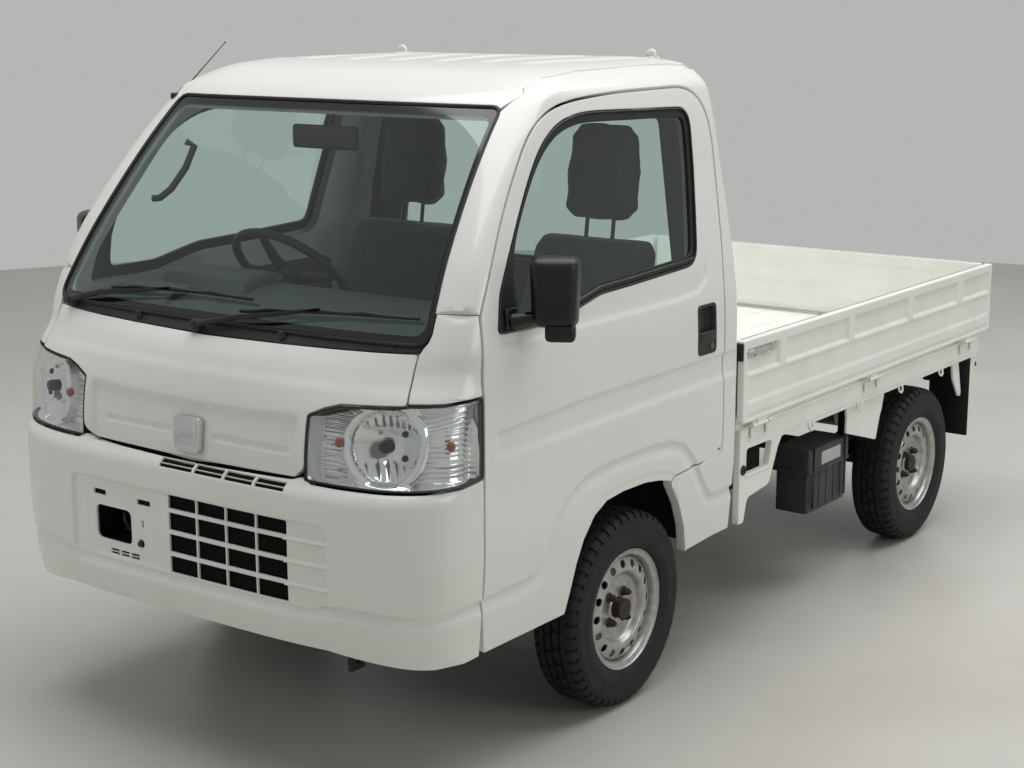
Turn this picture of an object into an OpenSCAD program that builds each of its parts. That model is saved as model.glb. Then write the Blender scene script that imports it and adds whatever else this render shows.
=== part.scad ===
// Cab-over kei truck with drop-side load bed. Millimetres, +Z up, nose towards -Y.
// Origin on the ground, at the centre of the overall length and width.

/* [Truck] */
// Overall length, bumper to tailgate
truck_l = 3395; // [3390:1:3400]
// Width over the doors
truck_w = 1475; // [1470:1:1476]
// Distance between the axles
wheelbase = 1900; // [1896:1:1904]
// Distance from the nose to the front axle
front_overhang = 947.5; // [945:0.5:950]

/* [Wheels] */
// Outer radius of a tyre
tyre_r = 271; // [268:1:272]
// Section width of a tyre
tyre_w = 145; // [140:1:146]
// Distance from the truck's centre to the middle of a tyre
half_track = 645; // [642:1:647]
// Radius of a rim over its outer flange
rim_r = 166; // [164:1:168]
// Number of round vent holes in a wheel disc
vent_count = 16; // [12:1:16]
// Radius of a vent hole
vent_r = 11; // [9:1:12]
// Steering lock to each side, in degrees
steer_lock = 32; // [20:1:33]

/* [Cab] */
// Thickness of the cab's side and back walls
wall_t = 25; // [20:1:28]
// Thickness of the roof with its lining
roof_t = 16; // [14:1:25]
// Thickness of a door
door_t = 55; // [50:1:58]
// Gap around a door
door_gap = 6; // [5.5:0.5:7]
// Depth of the glass below the outer skin
glass_depth = 9; // [7:1:12]
// Thickness of the glass
glass_t = 5; // [4:0.5:6]
// Thickness of the bumper skin
bumper_t = 40; // [35:1:45]

/* [Load bed] */
// Height of the top of the load floor above the ground
bed_floor_z = 668; // [664:1:670]
// Height of the top rail of the gates
gate_top_z = 922; // [915:1:930]
// Thickness of a gate
gate_t = 28; // [24:1:30]
// Front end of the side gates
gate_front_y = -186; // [-188:1:-180]

/* [Hidden] */

half_w = truck_w / 2;
nose = -truck_l / 2;
tail = truck_l / 2;
front_axle_y = nose + front_overhang;
rear_axle_y = front_axle_y + wheelbase;
axle_z = tyre_r;
cab_rear_y = -200;

// ---- Shape of the cab ----------------------------------------------------
// The cab is a stack of plan outlines. Each one is a superellipse from the
// middle of the nose round to the straight side, then a small rear corner.

// How far the nose lies behind the foremost point, by height
nose_line = [[300, 38], [420, 8], [500, 0], [620, 0], [745, 5], [765, 16], [775, 32], [840, 36],
             [930, 49], [1000, 70], [1050, 95], [1085, 127], [1643, 598], [1670, 640],
             [1690, 678], [1703, 714], [1713, 768], [1721, 843], [1726, 928], [1730, 1048]];
// How far the side lies inside the full width, by height
side_line = [[300, 22], [450, 9], [620, 0], [950, 0], [1050, 3.5], [1150, 15.5], [1400, 61.5],
             [1643, 115.5], [1670, 137.5], [1690, 159.5], [1703, 185.5], [1713, 227.5],
             [1721, 297.5], [1726, 397.5], [1730, 537.5]];
// How far the back lies ahead of the rearmost point, by height
back_line = [[300, 0], [1640, 0], [1670, 4], [1690, 9], [1703, 16], [1713, 32], [1721, 70],
             [1726, 130], [1730, 230]];
// Where the side becomes straight, behind the foremost point
shoulder_line = [[300, 317.5], [1060, 317.5], [1643, 757.5], [1730, 1147.5]];
// Exponent of the superellipse: low is rounder
corner_line = [[300, 3.7], [900, 3.9], [1000, 3.0], [1050, 2.7], [1100, 3.0], [1200, 3.8],
               [1300, 4.8], [1600, 5.5]];
cab_levels = [300, 345, 420, 500, 620, 700, 745, 765, 775, 840, 885, 930, 965, 1000, 1050, 1085,
              1150, 1250, 1350, 1450, 1550, 1600, 1643, 1670, 1690, 1703, 1713, 1721, 1726, 1730];
nose_steps = 12;
rear_corner_r = 45;

function cab_half_w(z) = half_w - lookup(z, side_line);
function cab_front(z) = nose + lookup(z, nose_line);
function cab_shoulder(z) = nose + lookup(z, shoulder_line);
function cab_back(z) = cab_rear_y - lookup(z, back_line);

function signed_power(v, e) = sign(v) * pow(abs(v), e);

// One plan outline at height z, moved inwards by inset, counter-clockwise from above
function cab_ring(z, inset) =
    let (w = cab_half_w(z) - inset,
         shoulder = cab_shoulder(z),
         depth = shoulder - cab_front(z) - inset,
         back = cab_back(z) - inset,
         e = 2 / lookup(z, corner_line),
         r = max(rear_corner_r - inset, 8),
         drop = inset * min(max(z - 1600, 0) / 130, 1) + (z == 300 && inset > 0 ? 2 : 0))
    concat(
        [for (i = [-nose_steps : nose_steps])
            let (a = 90 * i / nose_steps)
            [w * signed_power(sin(a), e), shoulder - depth * pow(cos(a), e), z - drop]],
        [for (a = [0 : 30 : 90]) [w - r + r * cos(a), back - r + r * sin(a), z - drop]],
        [for (a = [90 : 30 : 180]) [-w + r + r * cos(a), back - r + r * sin(a), z - drop]]
    );

module cab_solid(inset = 0) {
    rings = [for (z = cab_levels) cab_ring(z, inset)];
    n = len(rings[0]);
    m = len(rings);
    walls = [for (k = [0 : m - 2], i = [0 : n - 1])
        let (j = (i + 1) % n, low = k * n, high = low + n)
        each [[low + i, high + i, high + j], [low + i, high + j, low + j]]];
    bottom = [for (i = [0 : n - 1]) i];
    top = [for (i = [0 : n - 1]) n * m - 1 - i];
    polyhedron([for (ring = rings) each ring], concat([bottom, top], walls), convexity = 6);
}

// Everything inside is built as one triangle mesh
module one_mesh() {
    resize([0, 0, 0]) union() children();
}

// Part of the cab's skin, t thick, that lies within the child prism
module cab_skin(t, depth = 0) {
    one_mesh() difference() {
        intersection() {
            cab_solid(depth);
            union() children();
        }
        cab_solid(depth + t);
    }
}

// A drawing in the Y-Z plane, run along X
module side_prism(x0, x1) {
    translate([x0, 0, 0]) rotate([90, 0, 90]) linear_extrude(x1 - x0) children();
}

// A drawing in the X-Z plane, run along Y
module front_prism(y0, y1) {
    translate([0, y1, 0]) rotate([90, 0, 0]) linear_extrude(y1 - y0) children();
}

module both_sides() {
    children();
    mirror([1, 0, 0]) children();
}

module box(low, high) {
    translate(low) cube(high - low);
}

// ---- Outlines of the cab's openings and panels, [Y, Z] or [X, Z] ----------
door_front_y = -1428;
door_rear_y = -297;
arch_top_z = 611;
pillar_seam_z = 1172;
roof_z = 1660;

module arch_outline() {
    hull() {
        for (y = [-176, 176])
            translate([front_axle_y + y, arch_top_z - 100]) circle(100, $fn = 32);
        translate([front_axle_y - 320, 280]) square([640, 10]);
    }
}

module door_outline() {
    difference() {
        polygon([[door_front_y + 14, 345], [door_front_y, 440], [door_front_y, 1000],
                 [-1412, 1165], [-1391, 1205], [-1302, 1348], [-1232, 1439], [-1137, 1549],
                 [-1105, 1580], [-1064, 1604], [-1000, 1624], [-927, 1636], [-700, 1648],
                 [-380, 1650], [-335, 1642], [-300, 1622], [-276, 1595], [-264, 1560],
                 [-258, 1480], [-277, 1296], [-299, 1086], [door_rear_y, 614], [-430, 608],
                 [-700, 590], [-1062, 345]]);
        arch_outline();
    }
}

module door_window_outline() {
    offset(18) offset(-18)
        polygon([[-1350, 1112], [-1250, 1325], [-1164, 1446], [-1050, 1554], [-960, 1580],
                 [-793, 1590], [-395, 1586], [-360, 1545], [-372, 1400], [-400, 1206],
                 [-724, 1174], [-1017, 1152], [-1180, 1135]]);
}

module windscreen_outline() {
    offset(35) offset(-35) polygon([[-636, 1116], [636, 1116], [556, 1627], [-556, 1627]]);
}

module rear_window_outline() {
    offset(40) offset(-40) polygon([[-520, 1100], [520, 1100], [460, 1560], [-460, 1560]]);
}

module lamp_outline() {
    polygon([[386, 932], [430, 952], [470, 964], [600, 970], [700, 977], [760, 981],
             [760, 792], [700, 782], [600, 779], [480, 779], [384, 781]]);
}

module lid_outline() {
    for (s = [0, 1]) mirror([s, 0])
        polygon([[0, 1076], [622, 1080], [616, 1044], [603, 974], [470, 968], [428, 956],
                 [382, 935], [380, 806], [370, 791], [345, 781], [0, 777]]);
}

module bumper_outline() {
    for (s = [0, 1]) mirror([s, 0])
        polygon([[0, 376], [450, 376], [700, 350], [760, 345], [760, 788], [700, 778],
                 [600, 775], [480, 775], [384, 777], [374, 786], [345, 777], [0, 773]]);
}

// ---- Cab -----------------------------------------------------------------
module cab_roof() {
    color("white") cab_skin(roof_t)
        box([-half_w, nose, roof_z], [half_w, cab_rear_y + 5, 1800]);
}

// Pillars, quarter panels and back wall
module cab_shell() {
    window_back_y = cab_rear_y + 20;
    color("white") one_mesh() difference() {
        intersection() {
            cab_solid();
            side_prism(-half_w - 5, half_w + 5) offset(2) offset(-2) difference() {
                polygon([[nose - 5, pillar_seam_z], [nose - 5, roof_z], [cab_rear_y + 5, roof_z],
                         [cab_rear_y + 5, 364], [-700, 364], [-700, pillar_seam_z]]);
                arch_outline();
                door_outline();
            }
        }
        cab_solid(wall_t);
        front_prism(nose, -950) windscreen_outline();
        front_prism(-300, window_back_y) rear_window_outline();
        box([-600, -260, 300], [600, window_back_y, 600]);
    }
}

floor_z = 385;
deck_z = 620;
floor_front_y = -1520;
house_front_y = -1100;
house_rear_y = -396;
house_x = 385;

module cab_floor() {
    sheet = 15;
    floor_w = 655;
    color("gainsboro") {
        box([-floor_w, house_front_y - sheet, deck_z - sheet], [floor_w, -227, deck_z]);
        box([-floor_w, -1420, floor_z - sheet], [floor_w, house_front_y - sheet, floor_z]);
        box([-525, floor_front_y, floor_z - sheet], [525, -1420, floor_z]);
        box([-floor_w, house_front_y - sheet, floor_z - sheet], [floor_w, house_front_y, deck_z - sheet]);
        box([-525, floor_front_y - sheet, floor_z - sheet], [525, floor_front_y, 1000]);
        both_sides() {
            box([house_x, house_front_y, floor_z - sheet], [house_x + sheet, house_rear_y, deck_z - sheet]);
            box([house_x, house_rear_y, floor_z - sheet], [floor_w, house_rear_y + sheet, deck_z - sheet]);
        }
    }
}

module front_panel() {
    color("white") cab_skin(20) front_prism(nose - 5, -1400) lid_outline();
}

module corner_panels() {
    color("white") cab_skin(20) both_sides() intersection() {
        front_prism(nose - 5, door_front_y) polygon([
            [608, 974], [621, 1044], [626, 1083], [640, 1104], [640, 1118], [632, pillar_seam_z - 4],
            [760, pillar_seam_z - 4], [760, 985], [700, 981]]);
        side_prism(500, half_w + 5) polygon([[nose, 970], [door_front_y, 970],
            [door_front_y, 1000], [-1418, pillar_seam_z - 4], [nose, pillar_seam_z - 4]]);
    }
}

grille_left = -45;
grille_pitch = 100;
grille_hole_w = 88;
// Low edge and height of each row of openings
grille_rows = [[479, 41], [537, 32], [600, 33], [648, 35]];

module front_bumper() {
    color("white") one_mesh() difference() {
        intersection() {
            cab_solid();
            front_prism(nose - 5, door_front_y) bumper_outline();
        }
        cab_solid(bumper_t);
        for (i = [0 : 3], row = grille_rows)
            translate([grille_left + i * grille_pitch, nose - 5, row[0]])
                cube([grille_hole_w, 100, row[1]]);
        box([-320, nose - 5, 525], [-187, nose + 80, 614]);
    }
}

module cowl() {
    color("dimgray") cab_skin(40, 2) intersection() {
        front_prism(nose, -1400) polygon([[-612, 1084], [612, 1084], [626, 1112], [-626, 1112]]);
        box([-640, nose, 1070], [640, -1440, 1120]);
    }
}

module windscreen() {
    color("darkseagreen", 0.5) cab_skin(glass_t, glass_depth)
        front_prism(nose, -950) offset(-1) windscreen_outline();
}

module rear_window() {
    color("darkseagreen", 0.5) cab_skin(glass_t, glass_depth)
        front_prism(-300, cab_rear_y + 10) offset(-1) rear_window_outline();
}

module headlamps() {
    color("lightgray") cab_skin(70, 3) both_sides()
        front_prism(nose - 5, door_front_y) offset(-3) lamp_outline();
}

module wipers() {
    color("black") for (x = [-551, -44])
        one_mesh() difference() {
            union() {
                hull() {
                    translate([x, cab_front(1100) - 4, 1090]) sphere(14, $fn = 16);
                    translate([x + 300, cab_front(1140) - 12, 1135]) sphere(9, $fn = 12);
                }
                hull() {
                    translate([x + 120, cab_front(1100) - 12, 1103]) sphere(7, $fn = 12);
                    translate([x + 640, cab_front(1150) + (x > -100 ? 52 : -12), 1158])
                        sphere(7, $fn = 12);
                }
            }
            cab_solid(1.5);
        }
}

column_tilt = 45;
steer_centre = [-340, -910, 1118];

module dashboard() {
    color("dimgray") {
        one_mesh() hull() {
            box([-560, -1485, 1030], [560, -1475, 1070]);
            box([-625, -1125, 1080], [625, -1100, 1138]);
            box([-620, -1150, 880], [620, -1130, 900]);
            box([-560, -1430, 800], [560, -1420, 830]);
        }
        translate(steer_centre) rotate([-column_tilt, 0, 0]) translate([0, 0, -330])
            cylinder(r = 35, h = 280);
    }
}

seat_x = 350;

module seats() {
    color("darkslategray") for (s = [-1, 1]) translate([s * seat_x, 0, 0]) one_mesh() {
        hull() {
            box([-225, -950, 650], [225, -480, 660]);
            box([-235, -970, 700], [235, -470, 740]);
            box([-200, -930, 780], [200, -500, 790]);
        }
        hull() {
            box([-225, -560, 700], [225, -430, 780]);
            box([-205, -415, 1200], [205, -310, 1235]);
        }
        hull() {
            box([-130, -395, 1225], [130, -300, 1260]);
            box([-95, -375, 1525], [95, -285, 1550]);
        }
        box([-180, -900, deck_z], [180, -500, 655]);
    }
}

// Rear-view mirror and its stalk
module cab_trim() {
    color("black") {
        translate([-10, -1130, 1530]) rotate([-15, 0, 0]) box([-115, 0, -32], [115, 25, 32]);
        one_mesh() intersection() {
            translate([-10, -1102, 1545]) rotate([-8, 0, 0]) cylinder(r = 8, h = 200, $fn = 16);
            cab_solid(wall_t + 0.5);
        }
    }
}

module antenna() {
    color("black") one_mesh() difference() {
        hull() {
            translate([-592, -1078, 1620]) sphere(12, $fn = 12);
            translate([-585, -1012, 1656]) sphere(9, $fn = 12);
        }
        cab_solid();
    }
    color("black") one_mesh() difference() {
        hull() {
            translate([-585, -1018, 1652]) sphere(3, $fn = 8);
            translate([-578, -905, 1762]) sphere(3, $fn = 8);
        }
        hull() {
            translate([-592, -1078, 1620]) sphere(12, $fn = 12);
            translate([-585, -1012, 1656]) sphere(9, $fn = 12);
        }
        cab_solid();
    }
}

// ---- Doors ---------------------------------------------------------------
module left_door() {
    color("white") one_mesh() difference() {
        intersection() {
            cab_solid();
            side_prism(500, half_w + 5) offset(delta = -door_gap) door_outline();
        }
        cab_solid(door_t);
        side_prism(500, half_w + 5) door_window_outline();
    }
}

module left_door_glass() {
    color("darkseagreen", 0.5) cab_skin(glass_t, glass_depth + 8)
        side_prism(500, half_w + 5) offset(-1) door_window_outline();
}

module left_mirror() {
    color("black") one_mesh() {
        hull() {
            box([752, -1300, 1115], [790, -1250, 1290]);
            box([830, -1235, 1115], [870, -1185, 1290]);
        }
        hull() {
            box([733, -1310, 1108], [738, -1270, 1150]);
            box([765, -1285, 1120], [775, -1265, 1150]);
        }
    }
}

// ---- Load bed ------------------------------------------------------------
bed_front_y = -165;
gate_low_z = bed_floor_z;
gate_rear_y = tail - 2;
hinge_z = gate_low_z - 10;

module bed_floor() {
    rib_pitch = 150;
    color("white") difference() {
        union() {
            box([-700, bed_front_y, bed_floor_z - 30], [700, tail - 45, bed_floor_z]);
            box([-703, bed_front_y, bed_floor_z], [703, bed_front_y + 30, gate_top_z]);
        }
        for (x = [-600 : rib_pitch : 600])
            box([x - 20, bed_front_y + 60, bed_floor_z - 4], [x + 20, tail - 90, bed_floor_z + 1]);
    }
}

module bed_sills() {
    color("white") both_sides() difference() {
        union() {
            box([700.5, bed_front_y, 585], [722, tail - 45, 650]);
            side_prism(690, 712) polygon([
                [bed_front_y, 366], [-135, 366], [-115, 440], [19, 453], [76, 564],
                [84, 584.5], [bed_front_y, 584.5]
            ]);
        }
        side_prism(600, 760) offset(10) offset(-10)
            polygon([[-131, 510], [10, 510], [30, 580], [-129, 580]]);
    }
}

module rear_fenders() {
    color("black") both_sides() {
        box([560, rear_axle_y - 345, 420], [694, rear_axle_y - 338, 584]);
        side_prism(694, 699) polygon([[588, 491], [821, 424], [870, 566], [872, 584], [588, 584]]);
        box([560, rear_axle_y + 426, 288], [718, rear_axle_y + 434, 584]);
    }
}

module tail_lamps() {
    color("darkred") both_sides() box([520, 1600, 470], [690, 1660, 560]);
}

module rear_bumper() {
    plate_holes = 210;
    color("white") difference() {
        union() {
            box([-500, 1590, 470], [500, 1640, 540]);
            box([-165, 1640, 430], [165, 1643, 590]);
        }
        for (x = [-plate_holes / 2, plate_holes / 2])
            translate([x, 1700, 575]) rotate([90, 0, 0]) cylinder(r = 3.5, h = 200);
    }
}

module side_gate() {
    rail = 26;
    color("white") difference() {
        box([half_w - gate_t, gate_front_y, gate_low_z + 4], [half_w, gate_rear_y, gate_top_z]);
        box([half_w - 8, gate_front_y + 20, gate_top_z - rail - 75],
            [half_w + 1, gate_rear_y - 20, gate_top_z - rail]);
    }
    color("white") for (y = [-60, 710, 1510]) {
        box([half_w - gate_t, y - 35, hinge_z - 3], [half_w, y + 35, gate_low_z + 4]);
    }
}

module left_side_gate() {
    side_gate();
}

module tailgate() {
    color("white") difference() {
        box([-700, tail - gate_t, gate_low_z + 4], [700, tail, gate_top_z]);
        box([-660, tail - 8, gate_top_z - 101], [660, tail + 1, gate_top_z - 26]);
    }
    color("white") for (x = [-560, 0, 560])
        box([x - 35, tail - gate_t, hinge_z - 3], [x + 35, tail, gate_low_z + 4]);
}

// ---- Frame and running gear ------------------------------------------------
rail_x = 350;
eye_r = 13;
rise_y = -380;

module tow_eye(y, z) {
    difference() {
        box([rail_x - 32, y - 25, z - 30], [rail_x - 18, y + 25, z + 35]);
        translate([rail_x - 50, y, z]) rotate([0, 90, 0]) cylinder(r = eye_r, h = 60);
    }
}

// Low rails under the cab floor, and their rise behind it
module front_frame() {
    color("black") {
        both_sides() {
            box([rail_x - 60, -1450, 290], [rail_x + 10, rise_y + 60, 365]);
            box([rail_x - 60, rise_y, 365], [rail_x + 10, rise_y + 60, 598]);
        }
        for (y = [-1450, -1150, rise_y])
            box([60 - rail_x, y, 295], [rail_x - 60, y + 50, 355]);
        tow_eye(-1420, 255);
    }
}

// High rails under the load floor, with bearers up to it
module rear_frame() {
    color("black") {
        both_sides() box([rail_x - 60, rise_y + 60, 528], [rail_x + 10, 1580, 598]);
        for (y = [-160, 330, 1500])
            box([-rail_x - 10, y, 598], [rail_x + 10, y + 50, 637.5]);
        tow_eye(1545, 493);
    }
}

module engine_block() {
    color("dimgray") box([-270, 300, 230], [270, 800, 540]);
}

module fuel_tank() {
    color("black") box([-640, -100, 300], [-380, 420, 520]);
}

module battery_box() {
    color("dimgray") box([560, 345, 266], [690, 628, 478]);
}

module exhaust() {
    color("silver") {
        translate([-200, 1430, 370]) rotate([0, 90, 0]) cylinder(r = 75, h = 480);
        translate([300, 1430, 370]) rotate([-90, 0, 0]) cylinder(r = 18, h = 230);
    }
}

disc_face_x = 22;

// Hub from x0 to the wheel disc's back, with a nose that stands out of the disc
module wheel_hub(x0, y, nose_out) {
    face = half_track + disc_face_x - 0.5;
    translate([x0, y, axle_z]) rotate([0, 90, 0]) cylinder(r = 40, h = face - x0);
    translate([face, y, axle_z]) rotate([0, 90, 0]) cylinder(r = 28, h = nose_out);
}

module rear_axle() {
    color("black") {
        translate([-560, rear_axle_y, axle_z]) rotate([0, 90, 0]) cylinder(r = 32, h = 1120);
        translate([-60, rear_axle_y, axle_z]) rotate([0, 90, 0]) {
            translate([0, 0, -45]) cylinder(r = 95, h = 90);
            translate([0, 0, -100]) cylinder(r1 = 40, r2 = 95, h = 55);
            translate([0, 0, 45]) cylinder(r1 = 95, r2 = 40, h = 55);
        }
        both_sides() {
            translate([560, rear_axle_y, axle_z]) rotate([0, 90, 0]) cylinder(r = 95, h = 34);
            wheel_hub(594, rear_axle_y, 24);
            box([425, rear_axle_y - 460, 315], [485, rear_axle_y + 430, 340]);
            box([425, rear_axle_y - 60, 300], [485, rear_axle_y + 60, 315]);
        }
    }
}

module front_suspension() {
    color("black") {
        box([-300, front_axle_y - 90, 210], [300, front_axle_y + 30, 288]);
        both_sides() one_mesh() hull() {
            box([290, front_axle_y - 110, 215], [300, front_axle_y + 40, 240]);
            box([490, front_axle_y - 20, 180], [515, front_axle_y + 20, 198]);
        }
    }
}

steer_x = 545;

module left_knuckle() {
    color("dimgray") {
        translate([steer_x, front_axle_y, 205]) cylinder(r = 22, h = 385);
        translate([steer_x, front_axle_y, axle_z]) rotate([0, 90, 0]) cylinder(r = 90, h = 40);
        wheel_hub(steer_x + 40, front_axle_y, 34);
    }
}

module tyre() {
    w = tyre_w / 2;
    color("black") rotate([0, 90, 0]) rotate_extrude($fn = 96) polygon([
        [rim_r - 12, -49], [rim_r - 12, 49], [rim_r + 1, 51.5], [rim_r + 1, 58],
        [rim_r + 8, w - 8], [rim_r + 45, w],
        [tyre_r - 28, w - 4], [tyre_r - 8, w - 18], [tyre_r, w - 32], [tyre_r, 32 - w],
        [tyre_r - 8, 18 - w], [tyre_r - 28, 4 - w], [rim_r + 45, -w], [rim_r + 8, 8 - w],
        [rim_r + 1, -58], [rim_r + 1, -51.5]]);
}

// A steel wheel about the X axis; +X is its outer side
module rim() {
    t = 4;
    color("silver") rotate([0, 90, 0]) difference() {
        rotate_extrude($fn = 96) polygon([
            [rim_r, 58], [rim_r, 53], [rim_r - 14, 50], [rim_r - 16, -50], [rim_r, -53],
            [rim_r, -58], [rim_r - 12, -56], [rim_r - 20, -50], [rim_r - 20, 28],
            [137, 38], [112, 46], [100, 40], [92, 24], [70, 22], [40, 22], [32, 26],
            [32, 26 + t], [40, 22 + t], [70, 22 + t], [90, 24 + t], [97, 43], [111, 46 + t],
            [139, 38 + t], [rim_r - 18, 32], [rim_r - 17, 50]]);
        for (i = [0 : vent_count - 1])
            rotate([0, 0, i * 360 / vent_count]) translate([124, 0, 20]) cylinder(r = vent_r, h = 40);
        for (i = [0 : 3])
            rotate([0, 0, 45 + i * 90]) translate([50, 0, 10]) cylinder(r = 6, h = 30);
    }
}

module at_wheel(left, y) {
    mirror([left ? 0 : 1, 0, 0]) translate([half_track, y, axle_z]) children();
}

module steering_wheel() {
    rim_radius = 178;
    color("dimgray") translate(steer_centre) rotate([-column_tilt, 0, 0]) {
        rotate_extrude($fn = 64) translate([rim_radius, 0]) circle(13, $fn = 24);
        translate([0, 0, -40]) cylinder(r = 45, h = 35);
        for (a = [0, 180, 270])
            rotate([0, 0, a]) box([40, -14, -22], [rim_radius - 6, 14, -8]);
    }
}

cab_roof();
cab_shell();
cab_floor();
front_panel();
corner_panels();
front_bumper();
cowl();
windscreen();
rear_window();
headlamps();
wipers();
dashboard();
seats();
cab_trim();
antenna();
front_frame();
rear_frame();
engine_block();
fuel_tank();
battery_box();
exhaust();
rear_axle();
front_suspension();
bed_floor();
bed_sills();
rear_fenders();
tail_lamps();
rear_bumper();
left_door();
mirror([1, 0, 0]) left_door();  // right_door
left_door_glass();
mirror([1, 0, 0]) left_door_glass();  // right_door_glass
left_mirror();
mirror([1, 0, 0]) left_mirror();  // right_mirror
left_side_gate();
mirror([1, 0, 0]) left_side_gate();  // right_side_gate
tailgate();
left_knuckle();
mirror([1, 0, 0]) left_knuckle();  // right_knuckle
steering_wheel();
at_wheel(true, front_axle_y) tyre();  // front_left_tyre
at_wheel(true, front_axle_y) rim();  // front_left_rim
at_wheel(false, front_axle_y) tyre();  // front_right_tyre
at_wheel(false, front_axle_y) rim();  // front_right_rim
at_wheel(true, rear_axle_y) tyre();  // rear_left_tyre
at_wheel(true, rear_axle_y) rim();  // rear_left_rim
at_wheel(false, rear_axle_y) tyre();  // rear_right_tyre
at_wheel(false, rear_axle_y) rim();  // rear_right_rim
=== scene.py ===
import math

import bmesh
import bpy
import numpy as np
from mathutils import Matrix, Vector
from mathutils.geometry import delaunay_2d_cdt


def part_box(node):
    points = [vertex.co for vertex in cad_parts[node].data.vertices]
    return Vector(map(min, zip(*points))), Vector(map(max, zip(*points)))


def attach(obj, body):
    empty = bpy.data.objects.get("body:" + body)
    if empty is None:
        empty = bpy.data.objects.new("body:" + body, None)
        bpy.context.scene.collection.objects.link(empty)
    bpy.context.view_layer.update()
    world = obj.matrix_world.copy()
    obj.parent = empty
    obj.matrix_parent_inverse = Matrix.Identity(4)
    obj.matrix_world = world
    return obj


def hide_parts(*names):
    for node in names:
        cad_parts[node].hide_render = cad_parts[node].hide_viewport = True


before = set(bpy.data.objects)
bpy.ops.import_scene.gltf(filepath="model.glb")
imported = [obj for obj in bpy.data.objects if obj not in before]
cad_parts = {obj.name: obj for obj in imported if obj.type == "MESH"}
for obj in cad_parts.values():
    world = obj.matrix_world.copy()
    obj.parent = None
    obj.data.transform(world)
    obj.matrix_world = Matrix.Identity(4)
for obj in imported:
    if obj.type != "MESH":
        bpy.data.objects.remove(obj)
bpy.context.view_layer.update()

# ---------------------------------------------------------------------------
# Studio. A pale sealed floor and a grey surround under a large ceiling softbox,
# with a weaker fill, as a vehicle hall lights a parked truck from above.
# None of it is part of the truck.
scene = bpy.context.scene
scene.view_settings.view_transform = "Standard"


def linear(hex_colour):
    """The linear colour of an sRGB hex value, with full alpha."""
    channels = [int(hex_colour[i : i + 2], 16) / 255 for i in (1, 3, 5)]
    return [c / 12.92 if c <= .04045 else ((c + .055) / 1.055) ** 2.4 for c in channels] + [1]


def add_node(tree, kind, inputs=None, **settings):
    """Adds a node. Each input is a constant or another node's output."""
    made = tree.nodes.new(kind)
    for name, value in settings.items():
        setattr(made, name, value)
    for name, value in (inputs or {}).items():
        if isinstance(value, bpy.types.NodeSocket):
            tree.links.new(value, made.inputs[name])
        else:
            made.inputs[name].default_value = value
    return made


def new_finish(name, **sockets):
    """A material, its node tree, its shader and its Object coordinates."""
    finish = bpy.data.materials.new(name)
    finish.use_nodes = True
    tree = finish.node_tree
    shader = tree.nodes["Principled BSDF"]
    for socket, value in sockets.items():
        shader.inputs[socket.replace("_", " ")].default_value = value
    place = add_node(tree, "ShaderNodeTexCoord").outputs["Object"]
    return finish, tree, shader, place


def toned(tree, shader, place, pale, dark, patch_mm, bias=.5):
    """Colours the shader with soft patches of two tones, patch_mm across."""
    patches = add_node(
        tree, "ShaderNodeTexNoise", {"Vector": place, "Scale": 1000 / patch_mm, "Detail": 4.0}
    )
    tones = add_node(tree, "ShaderNodeValToRGB", {"Fac": patches.outputs["Fac"]})
    tones.color_ramp.elements[0].position = bias - .18
    tones.color_ramp.elements[1].position = bias + .18
    tones.color_ramp.elements[0].color = linear(pale)
    tones.color_ramp.elements[1].color = linear(dark)
    tree.links.new(tones.outputs["Color"], shader.inputs["Base Color"])
    return patches


def grained(tree, shader, place, grain_mm, depth_mm, smooth, rough):
    """Gives the shader a fine grain: bump depth_mm deep, and roughness that goes with it."""
    grain = add_node(
        tree, "ShaderNodeTexNoise", {"Vector": place, "Scale": 1000 / grain_mm, "Detail": 3.0}
    )
    gloss = add_node(
        tree, "ShaderNodeMapRange", {"Value": grain.outputs["Fac"], "To Min": smooth, "To Max": rough}
    )
    bump = add_node(
        tree,
        "ShaderNodeBump",
        {"Height": grain.outputs["Fac"], "Distance": depth_mm / 1000, "Strength": 1.0},
    )
    tree.links.new(gloss.outputs["Result"], shader.inputs["Roughness"])
    tree.links.new(bump.outputs["Normal"], shader.inputs["Normal"])
    return grain


def plain_finish(name, tones, patch_mm, grain, bias=.5, **sockets):
    """A finish in soft patches of two tones, with a grain: (mm, depth in mm, smooth, rough)."""
    finish, tree, shader, place = new_finish(name, **sockets)
    toned(tree, shader, place, *tones, patch_mm, bias)
    grained(tree, shader, place, *grain)
    return finish


# Sealed concrete: almost flat, with a soft sheen and faint wear patches.
sealed_concrete = plain_finish(
    "sealed concrete", ("#c3c1bb", "#b9b7b0"), 900, (40, .05, .28, .42), Specular_IOR_Level=.35)

bm = bmesh.new()
bmesh.ops.create_circle(bm, cap_ends=True, segments=128, radius=8)
floor_mesh = bpy.data.meshes.new("studio_floor")
bm.to_mesh(floor_mesh)
bm.free()
floor_mesh.materials.append(sealed_concrete)
studio_floor = bpy.data.objects.new("studio_floor", floor_mesh)
scene.collection.objects.link(studio_floor)

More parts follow.
